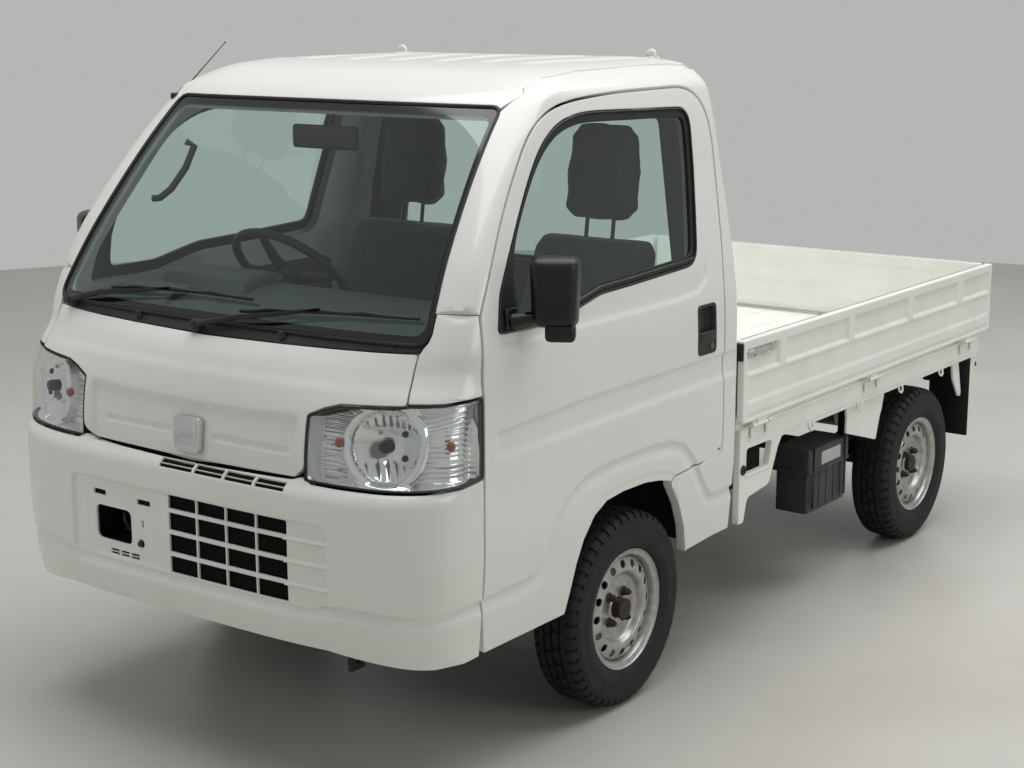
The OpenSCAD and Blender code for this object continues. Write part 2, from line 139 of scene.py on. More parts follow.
world = bpy.data.worlds.new("studio_surround")
scene.world = world
world.use_nodes = True
tree = world.node_tree
tree.nodes.clear()
seen = add_node(tree, "ShaderNodeLightPath")
seen_or_glossy = add_node(
    tree, "ShaderNodeMath", {0: seen.outputs["Is Camera Ray"], 1: seen.outputs["Is Glossy Ray"]},
    operation="MAXIMUM",
)
seen_at_all = add_node(
    tree, "ShaderNodeMath", {0: seen_or_glossy.outputs[0], 1: seen.outputs["Is Transmission Ray"]},
    operation="MAXIMUM",
)
ambient = add_node(tree, "ShaderNodeBackground", {"Color": linear("#ffffff"), "Strength": .30})
surround = add_node(tree, "ShaderNodeBackground", {"Color": linear("#b6b6b5"), "Strength": 1.0})
either = add_node(
    tree, "ShaderNodeMixShader",
    {0: seen_at_all.outputs[0], 1: ambient.outputs[0], 2: surround.outputs[0]},
)
add_node(tree, "ShaderNodeOutputWorld", {"Surface": either.outputs[0]})


def softbox(name, place, aim, width, height, watts, mirrored_in_gloss=True):
    lamp = bpy.data.lights.new(name, "AREA")
    lamp.shape = "RECTANGLE"
    lamp.size, lamp.size_y, lamp.energy = width, height, watts
    holder = bpy.data.objects.new(name, lamp)
    holder.location = place
    holder.rotation_euler = (Vector(aim) - Vector(place)).to_track_quat("-Z", "Y").to_euler()
    holder.visible_glossy = mirrored_in_gloss
    scene.collection.objects.link(holder)


softbox("ceiling_softbox", (.9, .9, 6.4), (.6, .5, 0), 5.6, 9.0, 470)
softbox("side_softbox", (6.0, -.5, 2.6), (0, 0, .8), 3.0, 2.0, 42)
softbox("front_softbox", (-3.2, -6.0, 3.2), (-.2, -1.5, .7), 3.0, 2.0, 45, False)

# A 62.6 mm lens on a 36 mm sensor, a little above the height of the roof
view_azimuth, view_elevation, view_roll = (math.radians(a) for a in (-36.1413, -12.1596, -.1246))
forward = Vector((
    math.sin(view_azimuth) * math.cos(view_elevation),
    math.cos(view_azimuth) * math.cos(view_elevation),
    math.sin(view_elevation),
))
level = forward.cross(Vector((0, 0, 1))).normalized()
upward = level.cross(forward)
right = math.cos(view_roll) * level + math.sin(view_roll) * upward
up = math.cos(view_roll) * upward - math.sin(view_roll) * level
camera_data = bpy.data.cameras.new("camera")
camera_data.lens, camera_data.sensor_width = 62.603, 36
camera_data.clip_end = 100
camera = bpy.data.objects.new("camera", camera_data)
camera.matrix_world = Matrix((
    (right.x, up.x, -forward.x, 3.1505),
    (right.y, up.y, -forward.y, -4.6206),
    (right.z, up.z, -forward.z, 1.8769),
    (0, 0, 0, 1),
))
scene.collection.objects.link(camera)
scene.camera = camera

# ---------------------------------------------------------------------------
# Frame and running gear. Pressed and welded steel under black chassis paint,
# cast housings and a folded steel silencer. The low rails, arms, axle and
# springs keep the CAD shapes; the battery box, tank and springs get detail.
# Thick satin paint: dull black with a brown dust of road dirt
chassis_paint = plain_finish("black chassis paint", ("#1d1c1b", "#2d2924"), 60, (4, .3, .5, .8))

# Sand-cast iron and aluminium: grey-brown, pitted, a little rusty
cast_iron = plain_finish(
    "bare casting", ("#4a4744", "#3d332c"), 25, (2.5, .4, .55, .85), Metallic=.6)

# Dull grey sheet that heat has stained brown in patches
dull_steel = plain_finish(
    "aluminised steel", ("#7d7a76", "#5b4c40"), 70, (3, .1, .4, .65), Metallic=.9)

# Bare iron with a film of orange-brown rust
rusty_iron = plain_finish(
    "rusted hub iron", ("#4a4038", "#2b2724"), 12, (1.5, .3, .6, .9), Metallic=.2)


def dressed(finish, slot, *nodes):
    """Gives CAD nodes that stay on show their finish."""
    for node in nodes:
        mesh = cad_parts[node].data
        mesh.materials.clear()
        mesh.materials.append(finish)


dressed(chassis_paint, "frame_black", "front_frame", "rear_frame", "rear_axle", "front_suspension")
dressed(cast_iron, "cast_metal", "left_knuckle", "right_knuckle", "engine_block")
dressed(dull_steel, "bare_steel", "exhaust")


def add_block(bm, low, high, bevel=.003, segments=2):
    """A box with rounded edges, between two corners."""
    low, high = Vector(low), Vector(high)
    middle, size = (low + high) / 2, high - low
    box = bmesh.ops.create_cube(
        bm, size=1, matrix=Matrix.Translation(middle) @ Matrix.Diagonal((*size, 1))
    )
    edges = list({edge for vert in box["verts"] for edge in vert.link_edges})
    made = bmesh.ops.bevel(
        bm, geom=edges, offset=min(bevel, min(size) * .45), segments=segments,
        affect="EDGES", profile=.5, material=-1,
    )
    return list({vert for face in made["faces"] for vert in face.verts} | {
        vert for vert in box["verts"] if vert.is_valid})


def add_rod(bm, points, radius, sides=12, caps=True):
    """A round bar or pipe along a line of points."""
    points = [Vector(p) for p in points]
    rings = []
    normal = None
    for i, point in enumerate(points):
        ahead = points[min(i + 1, len(points) - 1)] - points[max(i - 1, 0)]
        ahead.normalize()
        if normal is None:
            normal = ahead.orthogonal().normalized()
        normal = (normal - ahead * normal.dot(ahead)).normalized()
        across = ahead.cross(normal)
        turn = Matrix((
            (normal.x, across.x, ahead.x, point.x),
            (normal.y, across.y, ahead.y, point.y),
            (normal.z, across.z, ahead.z, point.z),
            (0, 0, 0, 1),
        ))
        r = radius[i] if hasattr(radius, "__len__") else radius
        rings.append(bmesh.ops.create_circle(bm, segments=sides, radius=r, matrix=turn)["verts"])
    for low, high in zip(rings, rings[1:]):
        for i in range(sides):
            j = (i + 1) % sides
            bm.faces.new((low[i], low[j], high[j], high[i]))
    if caps:
        bm.faces.new(rings[0][::-1])
        bm.faces.new(rings[-1])
    return [vert for ring in rings for vert in ring]


def add_turned(bm, profile, centre, axis, steps=48, closed=False):
    """A turned piece: profile is (radius, distance along the axis) from centre."""
    axis, centre = Vector(axis).normalized(), Vector(centre)
    out = axis.orthogonal().normalized()
    verts = [bm.verts.new(centre + out * r + axis * a) for r, a in profile]
    pairs = list(zip(verts, verts[1:])) + ([(verts[-1], verts[0])] if closed else [])
    edges = [bm.edges.new(pair) for pair in pairs]
    before = set(bm.verts)
    bmesh.ops.spin(
        bm, geom=verts + edges, cent=centre, axis=axis, dvec=(0, 0, 0), angle=math.tau,
        steps=steps, use_merge=True,
    )
    made = verts + [v for v in bm.verts if v not in before]
    bmesh.ops.remove_doubles(bm, verts=[v for v in made if v.is_valid], dist=1e-6)
    made = [v for v in made if v.is_valid]
    bmesh.ops.recalc_face_normals(bm, faces=list({f for v in made for f in v.link_faces}))
    return made


def finished(name, bm, finishes, body, replaces=(), thickness=0, sharp=38):
    """Makes the piece: smooth faces with crisp edges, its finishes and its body."""
    for edge in bm.edges:
        if len(edge.link_faces) == 2 and edge.calc_face_angle(0) > math.radians(sharp):
            edge.smooth = False
    for face in bm.faces:
        face.smooth = True
    mesh = bpy.data.meshes.new(name)
    bm.to_mesh(mesh)
    bm.free()
    for finish in finishes:
        mesh.materials.append(finish)
    piece = bpy.data.objects.new(name, mesh)
    scene.collection.objects.link(piece)
    if thickness:
        wall = piece.modifiers.new("sheet", "SOLIDIFY")
        wall.thickness, wall.offset, wall.use_even_offset = thickness, -1, False
    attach(piece, body)
    if replaces:
        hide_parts(*replaces)
    return piece


def mirrored(bm):
    """A copy for the other side of the truck."""
    other = bm.copy()
    bmesh.ops.scale(other, verts=other.verts, vec=(-1, 1, 1))
    bmesh.ops.reverse_faces(other, faces=other.faces)
    return other


def on_both_sides(*parts):
    """Makes the right pieces, mirrored, then the left ones. Each part is (name, mesh, finish,
    slot), and then the node that the left one stands for, if there is one."""
    for hand in ("right", "left"):
        for name, bm, finish, slot, *node in parts:
            if hand == "right":
                finished(f"right_{name}", mirrored(bm), [finish], "truck")
            else:
                finished(f"left_{name}", bm, [finish], "truck", node)


# Leaves and U-bolts of the rear springs, and the fuel tank with its seam and straps
rear_axle_y, axle_z = (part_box("rear_left_tyre")[0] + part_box("rear_left_tyre")[1]).yz / 2
bm = bmesh.new()
for side in (-1, 1):
    for leaf, reach in enumerate((.43, .33, .22)):
        low_z = .3145 - .009 * leaf
        add_block(bm, (side * .455 - .030, rear_axle_y - reach, low_z - .007),
                  (side * .455 + .030, rear_axle_y + reach, low_z), .0015, 1)
    for y in (-.045, .045):
        hoop = [(side * .455 + x, rear_axle_y + y, z)
                for x, z in ((-.036, .28), (-.036, .35), (-.026, .362), (.026, .362),
                             (.036, .35), (.036, .28))]
        add_rod(bm, hoop, .006, 8)
    damper = [(side * .40, rear_axle_y + .09, .26), (side * .37, rear_axle_y + .19, .53)]
    add_rod(bm, damper, .019, 16)
finished("rear_springs", bm, [chassis_paint], "truck")

tank_low, tank_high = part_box("fuel_tank")
bm = bmesh.new()
add_block(bm, tank_low, tank_high, .035, 4)
middle_z = (tank_low.z + tank_high.z) / 2
add_block(bm, (tank_low.x - .004, tank_low.y - .004, middle_z - .004),
          (tank_high.x + .004, tank_high.y + .004, middle_z + .004), .003, 2)
for y in (tank_low.y + .11, tank_high.y - .11):
    add_block(bm, (tank_low.x - .003, y - .015, tank_low.z - .003),
              (tank_high.x + .003, y + .015, tank_high.z + .003), .006, 2)
finished("tank_body", bm, [chassis_paint], "truck", ["fuel_tank"])

# Battery box: a moulded tub with an overhanging lid, and a pale blank tag on its face
# Moulded tub: blue-grey, satin, dusty in the corners
tub_plastic = plain_finish(
    "dark grey polypropylene", ("#272b2d", "#34383a"), 80, (1.2, .12, .42, .62))
tag_paper, tree, shader, place = new_finish("coated paper tag")
# A blank tag: off-white, slightly yellowed
toned(tree, shader, place, "#b9bdb8", "#a8aca6", 15)
grained(tree, shader, place, 1.0, .03, .4, .5)
box_low, box_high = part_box("battery_box")
bm = bmesh.new()
add_block(bm, box_low + Vector((.008, .008, 0)),
          (box_high.x - .008, box_high.y - .008, box_high.z - .07), .008, 3)
add_block(bm, (box_low.x, box_low.y, box_high.z - .072), box_high, .007, 3)
add_block(bm, (box_low.x - .002, box_low.y - .002, box_high.z - .078),
          (box_high.x + .002, box_high.y + .002, box_high.z - .066), .003, 2)
for y in (box_low.y + .03, box_high.y - .03):
    add_rod(bm, [(box_high.x + .002, y, box_low.z + .02),
                 (box_high.x + .002, y, box_high.z + .015)], .004, 8)
for y in np.linspace(box_low.y + .04, box_high.y - .04, 5):
    add_block(bm, (box_high.x - .010, y - .003, box_low.z + .01),
              (box_high.x - .006, y + .003, box_high.z - .08), .001, 1)
finished("battery_tub", bm, [tub_plastic], "truck", ["battery_box"])
bm = bmesh.new()
add_block(bm, (box_high.x - .008, box_low.y + .085, box_high.z - .060),
          (box_high.x + .0015, box_low.y + .22, box_high.z - .018), .001, 1)
finished("battery_tag", bm, [tag_paper], "truck")

# ---------------------------------------------------------------------------
# Wheels. Radial tyres of moulded rubber on welded steel wheels: a rolled rim and
# a pressed disc with a ring of vent holes, sprayed silver. Four nuts hold each
# one; the front hubs have a black cap and the rear ones are bare and rusty.
# Moulded rubber: blue-black, dull, with a grey bloom and fine mould texture
tyre_rubber = plain_finish(
    "tyre rubber", ("#17171a", "#222122"), 45, (1.6, .2, .55, .8), Specular_IOR_Level=.35)

# Metallic lacquer: bright silver with a haze of brake dust
wheel_paint = plain_finish(
    "silver wheel paint", ("#b4b5b3", "#9a9792"), 30, (1.2, .03, .3, .42), bias=.56, Metallic=.75)

axle_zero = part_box("front_left_tyre")
front_axle_y = (axle_zero[0].y + axle_zero[1].y) / 2
half_track = (axle_zero[0].x + axle_zero[1].x) / 2
vent_count, vent_radius, vent_ring = 16, .011, .124


def smooth_line(stations):
    """A monotone curve through (place, value) stations, with no overshoot."""
    p, v = np.array(stations, float).T
    gap, slope = np.diff(p), np.diff(v) / np.diff(p)
    product = slope[:-1] * slope[1:]
    total = slope[:-1] + slope[1:]
    inner = np.where(product > 0, 2 * product / np.where(total == 0, 1, total), 0)
    tangent = np.concatenate([[slope[0]], inner, [slope[-1]]])

    def at(q):
        q = np.clip(q, p[0], p[-1])
        i = np.clip(np.searchsorted(p, q) - 1, 0, len(gap) - 1)
        t = (q - p[i]) / gap[i]
        return (
            v[i] * (2 * t**3 - 3 * t**2 + 1) + tangent[i] * gap[i] * (t**3 - 2 * t**2 + t)
            + v[i + 1] * (3 * t**2 - 2 * t**3) + tangent[i + 1] * gap[i] * (t**3 - t**2)
        )

    return at


def spaced(loop, step=.006, closed=True):
    """The same line with points no more than step apart."""
    loop = np.asarray(loop, float)
    ends = np.roll(loop, -1, 0) if closed else loop[1:]
    out = []
    for a, b in zip(loop, ends):
        count = max(1, math.ceil(np.hypot(*(b - a)) / step - 1e-6))
        out += [a + (b - a) * k / count for k in range(count)]
    return np.array(out if closed else out + [loop[-1]])


def rounded(loop, radius, step=.006, closed=True):
    """An outline with its corners rounded, radius one value or one for each corner."""
    loop = np.asarray(loop, float)
    radii = np.broadcast_to(radius, len(loop))
    out = []
    for i, corner in enumerate(loop):
        if not closed and i in (0, len(loop) - 1):
            out.append(corner)
            continue
        back, on = loop[i - 1] - corner, loop[(i + 1) % len(loop)] - corner
        back_l, on_l = np.hypot(*back), np.hypot(*on)
        back, on = back / back_l, on / on_l
        half = math.acos(np.clip(back @ on, -1, 1)) / 2
        reach = min(radii[i] / max(math.tan(half), 1e-3), .48 * back_l, .48 * on_l)
        if reach < 2e-4:
            out.append(corner)
            continue
        start, end = corner + back * reach, corner + on * reach
        count = max(2, math.ceil(reach * 2 / .006))
        out += [start * (1 - t) ** 2 + corner * 2 * t * (1 - t) + end * t**2
                for t in np.linspace(0, 1, min(count, 10) + 1)]
    return spaced(out, step, closed)


def ring_of(centre, radius, count):
    turns = np.arange(count) * math.tau / count
    return np.stack([centre[0] + radius * np.cos(turns), centre[1] + radius * np.sin(turns)], 1)


def signed_area(loop):
    x, y = loop.T
    return (x * np.roll(y, -1) - np.roll(x, -1) * y).sum() / 2


def outward(loop):
    """The mitred unit direction to the right of a closed loop at each point."""
    ahead = np.roll(loop, -1, 0) - loop
    ahead /= np.maximum(np.hypot(*ahead.T), 1e-12)[:, None]
    behind = np.roll(ahead, 1, 0)
    a = np.stack([ahead[:, 1], -ahead[:, 0]], 1)
    b = np.stack([behind[:, 1], -behind[:, 0]], 1)
    return (a + b) / np.maximum(1 + (a * b).sum(1), .35)[:, None]


def is_inside(loop, points):
    """Which flat points lie in a closed loop."""
    x, y = points.T
    found = np.zeros(len(points), bool)
    for (ax, ay), (bx, by) in zip(loop, np.roll(loop, -1, 0)):
        if ay != by:
            found ^= ((ay > y) != (by > y)) & (x < (bx - ax) * (y - ay) / (by - ay) + ax)
    return found


def line_distance(line, u, v):
    """Distance from each (u, v) to an open line."""
    nearest = np.full(np.shape(u), 1e9)
    for (ax, ay), (bx, by) in zip(line[:-1], line[1:]):
        dx, dy = bx - ax, by - ay
        t = np.clip(((u - ax) * dx + (v - ay) * dy) / max(dx * dx + dy * dy, 1e-12), 0, 1)
        nearest = np.minimum(nearest, np.hypot(u - ax - t * dx, v - ay - t * dy))
    return nearest


def rise(distance, width):
    """0 before the middle of a slope and 1 after it, soft at both ends."""
    t = np.clip(distance / width + .5, 0, 1)
    return t * t * (3 - 2 * t)


def edge_frame(form, loop, relief=None):
    """Places, outward directions along the sheet, and normals at each point of a loop."""
    out = outward(loop)
    at, normal = form(*loop.T)
    near, _ = form(*(loop + out * 1e-3).T)
    side = near - at
    side -= normal * (side * normal).sum(1)[:, None]
    side /= np.maximum(np.linalg.norm(side, axis=1), 1e-12)[:, None]
    if relief is not None:
        at = at + normal * relief(*loop.T)[:, None]
    return at, side, normal


def pressed_sheet(form, outline, holes=(), relief=None, step=.012, roll=.0016, lip=.012,
                  hole_lip=None, bands=()):
    """A trimmed, pressed metal sheet, which no single mesh operator makes: the outline and
    holes are cut in the flat, a lattice that is finer where the relief bends fills it, and
    form(u, v) lays it on its surface. Every edge is rolled over and turned back by a lip."""
    loops = [outline if signed_area(outline) > 0 else outline[::-1]]
    loops += [hole[::-1] if signed_area(hole) > 0 else hole for hole in holes]
    points, chains, edges = [], [], []
    rim_width, batch = .0025, 4000

    def add_chain(loop):
        start = len(points)
        points.extend(loop)
        edges.extend((start + i, start + (i + 1) % len(loop)) for i in range(len(loop)))
        return start

    cut_loops = []
    for loop in loops:
        cut = loop - outward(loop) * roll
        cut_loops.append(cut)
        chains.append(add_chain(cut))
        add_chain(cut - outward(cut) * rim_width)
    band_loops = [loop if signed_area(loop) > 0 else loop[::-1] for loop in bands]
    for loop in band_loops:
        add_chain(loop)

    low, high = loops[0].min(0), loops[0].max(0)
    fine = step / 3
    count_u, count_v = (np.ceil((high - low) / fine).astype(int) // 3 + 1) * 3 + 1
    grid_u, grid_v = np.meshgrid(low[0] + np.arange(count_u) * fine,
                                 low[1] + np.arange(count_v) * fine, indexing="ij")
    keep = np.zeros((count_u, count_v), bool)
    keep[::3, ::3] = True
    if relief is not None:
        height = relief(grid_u, grid_v)
        bend = np.zeros_like(height)
        bend[1:-1] += abs(height[2:] - 2 * height[1:-1] + height[:-2])
        bend[:, 1:-1] += abs(height[:, 2:] - 2 * height[:, 1:-1] + height[:, :-2])
        least_bend = .05 * fine * .25
        busy = bend > least_bend
        near = busy.copy()
        near[1:] |= busy[:-1]
        near[:-1] |= busy[1:]
        near[:, 1:] |= busy[:, :-1]
        near[:, :-1] |= busy[:, 1:]
        keep |= near
    inner = np.stack([grid_u[keep], grid_v[keep]], 1)
    for loop in cut_loops + band_loops:
        clear = np.ones(len(inner), bool)
        margin = .6 * fine + (rim_width if roll else .001)
        for start in range(0, len(inner), batch):
            block = inner[start : start + batch]
            gap = np.abs(block[:, None] - loop[None]).max(2).min(1)
            clear[start : start + batch] = gap > max(margin, .0035)
        inner = inner[clear]
    inner = inner[is_inside(cut_loops[0], inner)]
    for hole in cut_loops[1:]:
        inner = inner[~is_inside(hole, inner)]
    points.extend(inner)

    flat, _, faces, sources, _, _ = delaunay_2d_cdt(
        [Vector(p) for p in points], edges, [], 0, 1e-6, True)
    flat = np.array([tuple(p) for p in flat])
    faces = np.array([tuple(f) for f in faces])
    middle = flat[faces].mean(1)
    good = is_inside(cut_loops[0], middle)
    for hole in cut_loops[1:]:
        good &= ~is_inside(hole, middle)
    faces, middle = faces[good], middle[good]
    paint = np.zeros(len(faces), int)
    for k, loop in enumerate(band_loops):
        paint[~is_inside(loop, middle)] = k + 1
    became = {}
    for new, old in enumerate(sources):
        for source in old:
            became[source] = new

    at, normal = form(*flat.T)
    if relief is not None:
        at = at + normal * relief(*flat.T)[:, None]
    bm = bmesh.new()
    verts = [bm.verts.new(p) for p in at]
    for face, index in zip(faces, paint):
        a, b, c = face
        corner = flat[face]
        if np.cross(corner[1] - corner[0], corner[2] - corner[0]) < 0:
            b, c = c, b
        bm.faces.new((verts[a], verts[b], verts[c])).material_index = int(index)
    for k, cut in enumerate(cut_loops):
        ring = [verts[became[chains[k] + i]] for i in range(len(cut))]
        place, side, normal = edge_frame(form, cut, relief)
        depth = lip if k == 0 or hole_lip is None else hole_lip
        levels = [(roll * math.sin(a), roll * (1 - math.cos(a)))
                  for a in np.radians((30, 60, 90))] if roll else []
        if depth:
            levels.append((roll, roll + depth))
        for out, down in levels:
            spots = place + side * out - normal * down
            lower = [bm.verts.new(p) for p in spots]
            for i in range(len(ring)):
                j = (i + 1) % len(ring)
                if ring[i] is not ring[j]:
                    face = bm.faces.new((ring[i], lower[i], lower[j], ring[j]))
                    face.material_index = len(band_loops) if band_loops and k == 0 else 0
            ring = lower
    bmesh.ops.delete(bm, geom=[v for v in bm.verts if not v.link_faces], context="VERTS")
    return bm


def add_strip(bm, form, loop, profile, closed=True):
    """A moulded strip along a line on a form: profile is (outward, proud) points."""
    if closed and signed_area(loop) < 0:
        loop = loop[::-1]
    if closed:
        place, side, normal = edge_frame(form, loop)
    else:
        longer = np.vstack([2 * loop[0] - loop[1], loop, 2 * loop[-1] - loop[-2]])
        place, side, normal = (part[1:-1] for part in edge_frame(form, longer))
        ahead = np.gradient(place, axis=0)
        side = np.cross(ahead, normal)
        side /= np.linalg.norm(side, axis=1)[:, None]
    rings = [[bm.verts.new(p) for p in place + side * out + normal * proud]
             for out, proud in profile]
    count = len(loop)
    made = []
    for low, high in zip(rings, rings[1:] + rings[:1]):
        for i in range(count if closed else count - 1):
            j = (i + 1) % count
            made.append(bm.faces.new((low[i], low[j], high[j], high[i])))
    if not closed:
        made.append(bm.faces.new([ring[0] for ring in rings]))
        made.append(bm.faces.new([ring[-1] for ring in rings][::-1]))
    bmesh.ops.recalc_face_normals(bm, faces=made)
    return made


def tyre_mesh(centre):
    """The tyre's section, spun; shoulder blocks are cut by pushing every other face in."""
    half = [
        (.1555, .046), (.1575, .049), (.1670, .0510), (.1675, .0585), (.1730, .0640),
        (.1830, .0680), (.1960, .0708), (.1990, .0718), (.2020, .0712), (.2200, .0720),
        (.2360, .0702), (.2385, .0708), (.2410, .0694), (.2500, .0668), (.2590, .0628),
        (.2648, .0570), (.2678, .0500), (.2690, .0400), (.2698, .0270), (.2640, .0262),
        (.2640, .0218), (.2702, .0210), (.2708, .0035), (.2645, .0026),
    ]
    profile = half + [(r, -x) for r, x in half[::-1]]
    bm = bmesh.new()
    add_turned(bm, profile, centre, (1, 0, 0), steps=144, closed=True)
    blocks = {True: [], False: []}
    for face in bm.faces:
        spot = face.calc_center_median() - centre
        radius, along = math.hypot(spot.y, spot.z), abs(spot.x)
        turn = int((math.atan2(spot.z, spot.y) / math.tau) % 1 * 144)
        if radius > .252 and .040 < along < .066 and turn % 3 == 0:
            blocks[True].append(face)
        if radius > .2685 and .004 < along < .020 and (turn + (spot.x > 0)) % 4 == 0:
            blocks[True].append(face)
    bmesh.ops.inset_region(bm, faces=blocks[True], thickness=.0012, depth=-.0045,
                           use_even_offset=True, use_boundary=True)
    return bm


# Height of the disc's face outside the middle of the tyre, from the hub out
disc_face = smooth_line([(0.0, .030), (.030, .0300), (.036, .0262), (.070, .0258),
                         (.084, .0268), (.091, .0300), (.098, .0440), (.104, .0490),
                         (.111, .0500), (.138, .0420), (.145, .0350), (.1475, .0300)])


def wheel_mesh(centre):
    """The pressed disc with its holes, and the rolled rim round it."""

    def plate(y, z):
        at = np.stack([np.full(len(y), centre.x), centre.y + y, centre.z + z], 1)
        return at, np.tile((1.0, 0.0, 0.0), (len(y), 1))

    holes = [ring_of((0, 0), .0295, 40)]
    holes += [ring_of((vent_ring * math.cos(a), vent_ring * math.sin(a)), vent_radius, 22)
              for a in np.arange(vent_count) * math.tau / vent_count]
    bm = pressed_sheet(plate, ring_of((0, 0), .1475, 160), holes,
                       lambda y, z: disc_face(np.hypot(y, z)), step=.009, roll=.0012, lip=.004)
    section = [
        (.1480, .034), (.1500, .044), (.1512, .0490), (.1545, .0512), (.1600, .0520),
        (.1628, .0536), (.1650, .0556), (.1664, .0580), (.1668, .0600), (.1660, .0612),
        (.1645, .0606), (.1636, .0585), (.1612, .0562), (.1560, .0550), (.1500, .0530),
        (.1478, .0490), (.1458, .0380), (.1440, .0200), (.1330, .0120), (.1330, -.0250),
        (.1440, -.0330), (.1460, -.0480), (.1560, -.0550), (.1640, -.0580),
        (.1660, -.0560), (.1560, -.0520), (.1490, -.0480), (.1470, -.0340),
        (.1360, -.0260), (.1360, .0130), (.1465, .0190),
    ]
    add_turned(bm, section, centre, (1, 0, 0), steps=128, closed=True)
    return bm


tyre_steps = {"left": 1, "right": -1}
for end, axle_y in (("front", front_axle_y), ("rear", rear_axle_y)):
    for hand, sign in tyre_steps.items():
        name = f"{end}_{hand}"
        centre = Vector((half_track, axle_y, axle_z))
        body = f"{name}_wheel"
        tyre = tyre_mesh(centre)
        wheel = wheel_mesh(centre)
        fixings = bmesh.new()
        for k in range(4):
            turn = math.radians(45 + 90 * k)
            spot = centre + Vector((0, .050 * math.cos(turn), .050 * math.sin(turn)))
            add_turned(fixings, [(0, .024), (.0145, .024), (.0145, .0262), (.0112, .031),
                                 (0, .031)],
                       spot, (1, 0, 0), 24)
            hexes = bmesh.ops.create_cone(
                fixings, cap_ends=True, segments=6, radius1=.0112, radius2=.0105, depth=.014,
                matrix=(Matrix.Translation(spot + Vector((.037, 0, 0)))
                        @ Matrix.Rotation(math.pi / 2, 4, "Y")))
            bmesh.ops.bevel(fixings, geom=list({e for v in hexes["verts"] for e in v.link_edges}),
                            offset=.0012, segments=2, affect="EDGES", profile=.5, material=-1)
            add_turned(fixings, [(.0058, .043), (.0058, .049), (.0045, .0505), (0, .0505)], spot,
                       (1, 0, 0), 16)
        if end == "rear":
            add_turned(fixings, [(.0290, .020), (.0290, .031), (.0265, .0345), (.0150, .0350),
                                 (.0135, .0420), (.0100, .0440), (0, .0440)], centre, (1, 0, 0),
                                 40)
        if sign < 0:
            tyre, wheel, fixings = (mirrored(mesh) for mesh in (tyre, wheel, fixings))
        finished(f"{name}_tyre_rubber", tyre, [tyre_rubber], body, [f"{name}_tyre"],
                 sharp=50)
        finished(f"{name}_wheel_disc", wheel, [wheel_paint], body, [f"{name}_rim"])
        finished(f"{name}_wheel_nuts", fixings, [rusty_iron], body)

# Black dust cap on each front hub
# Moulded cap dulled by grease and dust
cap_plastic = plain_finish("dusty black cap", ("#151414", "#2b2621"), 12, (1.0, .1, .4, .7))
for hand, sign in tyre_steps.items():
    bm = bmesh.new()
    add_turned(bm, [(.0288, .020), (.0288, .034), (.0262, .0385), (.0220, .0400),
                    (.0205, .0470), (.0150, .0510), (.0070, .0525), (0, .0528)],
                    (half_track, front_axle_y, axle_z), (1, 0, 0), 40)
    if sign < 0:
        bm = mirrored(bm)
    finished(f"front_{hand}_dust_cap", bm, [cap_plastic], f"front_{hand}_wheel")

# ---------------------------------------------------------------------------
# Cab skin. Spot-welded panels of 0.7 mm pressed steel in white enamel: roof, side
# frames with the pillars, and the back. Their inner skins close them into boxes.
# Plain solid white: glossy, with very faint orange peel
white_enamel = plain_finish(
    "white body enamel", ("#e6e7e3", "#e1e2dd"), 600, (9, .004, .26, .34), Coat_Weight=.6,
    Coat_Roughness=.05, Specular_IOR_Level=.45)

# The inner panels got one coat only: flatter and greyer
inner_enamel = plain_finish(
    "thin white enamel", ("#c9cbc8", "#bcbebb"), 250, (6, .02, .4, .55), Specular_IOR_Level=.4)

# Grained vinyl board: dark warm grey, matt
grey_lining = plain_finish(
    "grey vinyl lining", ("#55585a", "#4c4f51"), 180, (1.6, .15, .55, .75), Specular_IOR_Level=.35)

# Extruded rubber: blue-black with a soft sheen
black_rubber = plain_finish(
    "black weather rubber", ("#131415", "#1b1c1d"), 30, (1.5, .05, .4, .6), Specular_IOR_Level=.4)


def see_through(name, body, gloss_colour, steep_gloss, least_gloss):
    """A clear finish: its body's tint shows through, and the gloss grows at low angles."""
    finish, tree, shader, _ = new_finish(name)
    tree.nodes.remove(shader)
    through = add_node(tree, "ShaderNodeBsdfTransparent", {"Color": linear(body)})
    gloss = add_node(tree, "ShaderNodeBsdfGlossy", {"Color": linear(gloss_colour), "Roughness": .02})
    facing = add_node(tree, "ShaderNodeLayerWeight", {"Blend": .5})
    steep = add_node(
        tree, "ShaderNodeMath", {0: facing.outputs["Facing"], 1: 4.0}, operation="POWER")
    share = add_node(
        tree, "ShaderNodeMath", {0: steep.outputs[0], 1: steep_gloss, 2: least_gloss},
        operation="MULTIPLY_ADD")
    mixed = add_node(
        tree, "ShaderNodeMixShader", {0: share.outputs[0], 1: through.outputs[0], 2: gloss.outputs[0]})
    output = [node for node in tree.nodes if node.type == "OUTPUT_MATERIAL"][0]
    tree.links.new(mixed.outputs[0], output.inputs["Surface"])
    return finish


# Laminated and toughened glass: see-through with a faint green body and a clear reflection
clear_glass = see_through("green tinted glass", "#e4f1ee", "#f4f8f8", .85, .06)

# Enamel band baked on the glass: deep black under a glossy face
black_frit = plain_finish(
    "black ceramic frit", ("#0b0c0d", "#0e0f10"), 50, (8, .003, .08, .14), Specular_IOR_Level=.6)

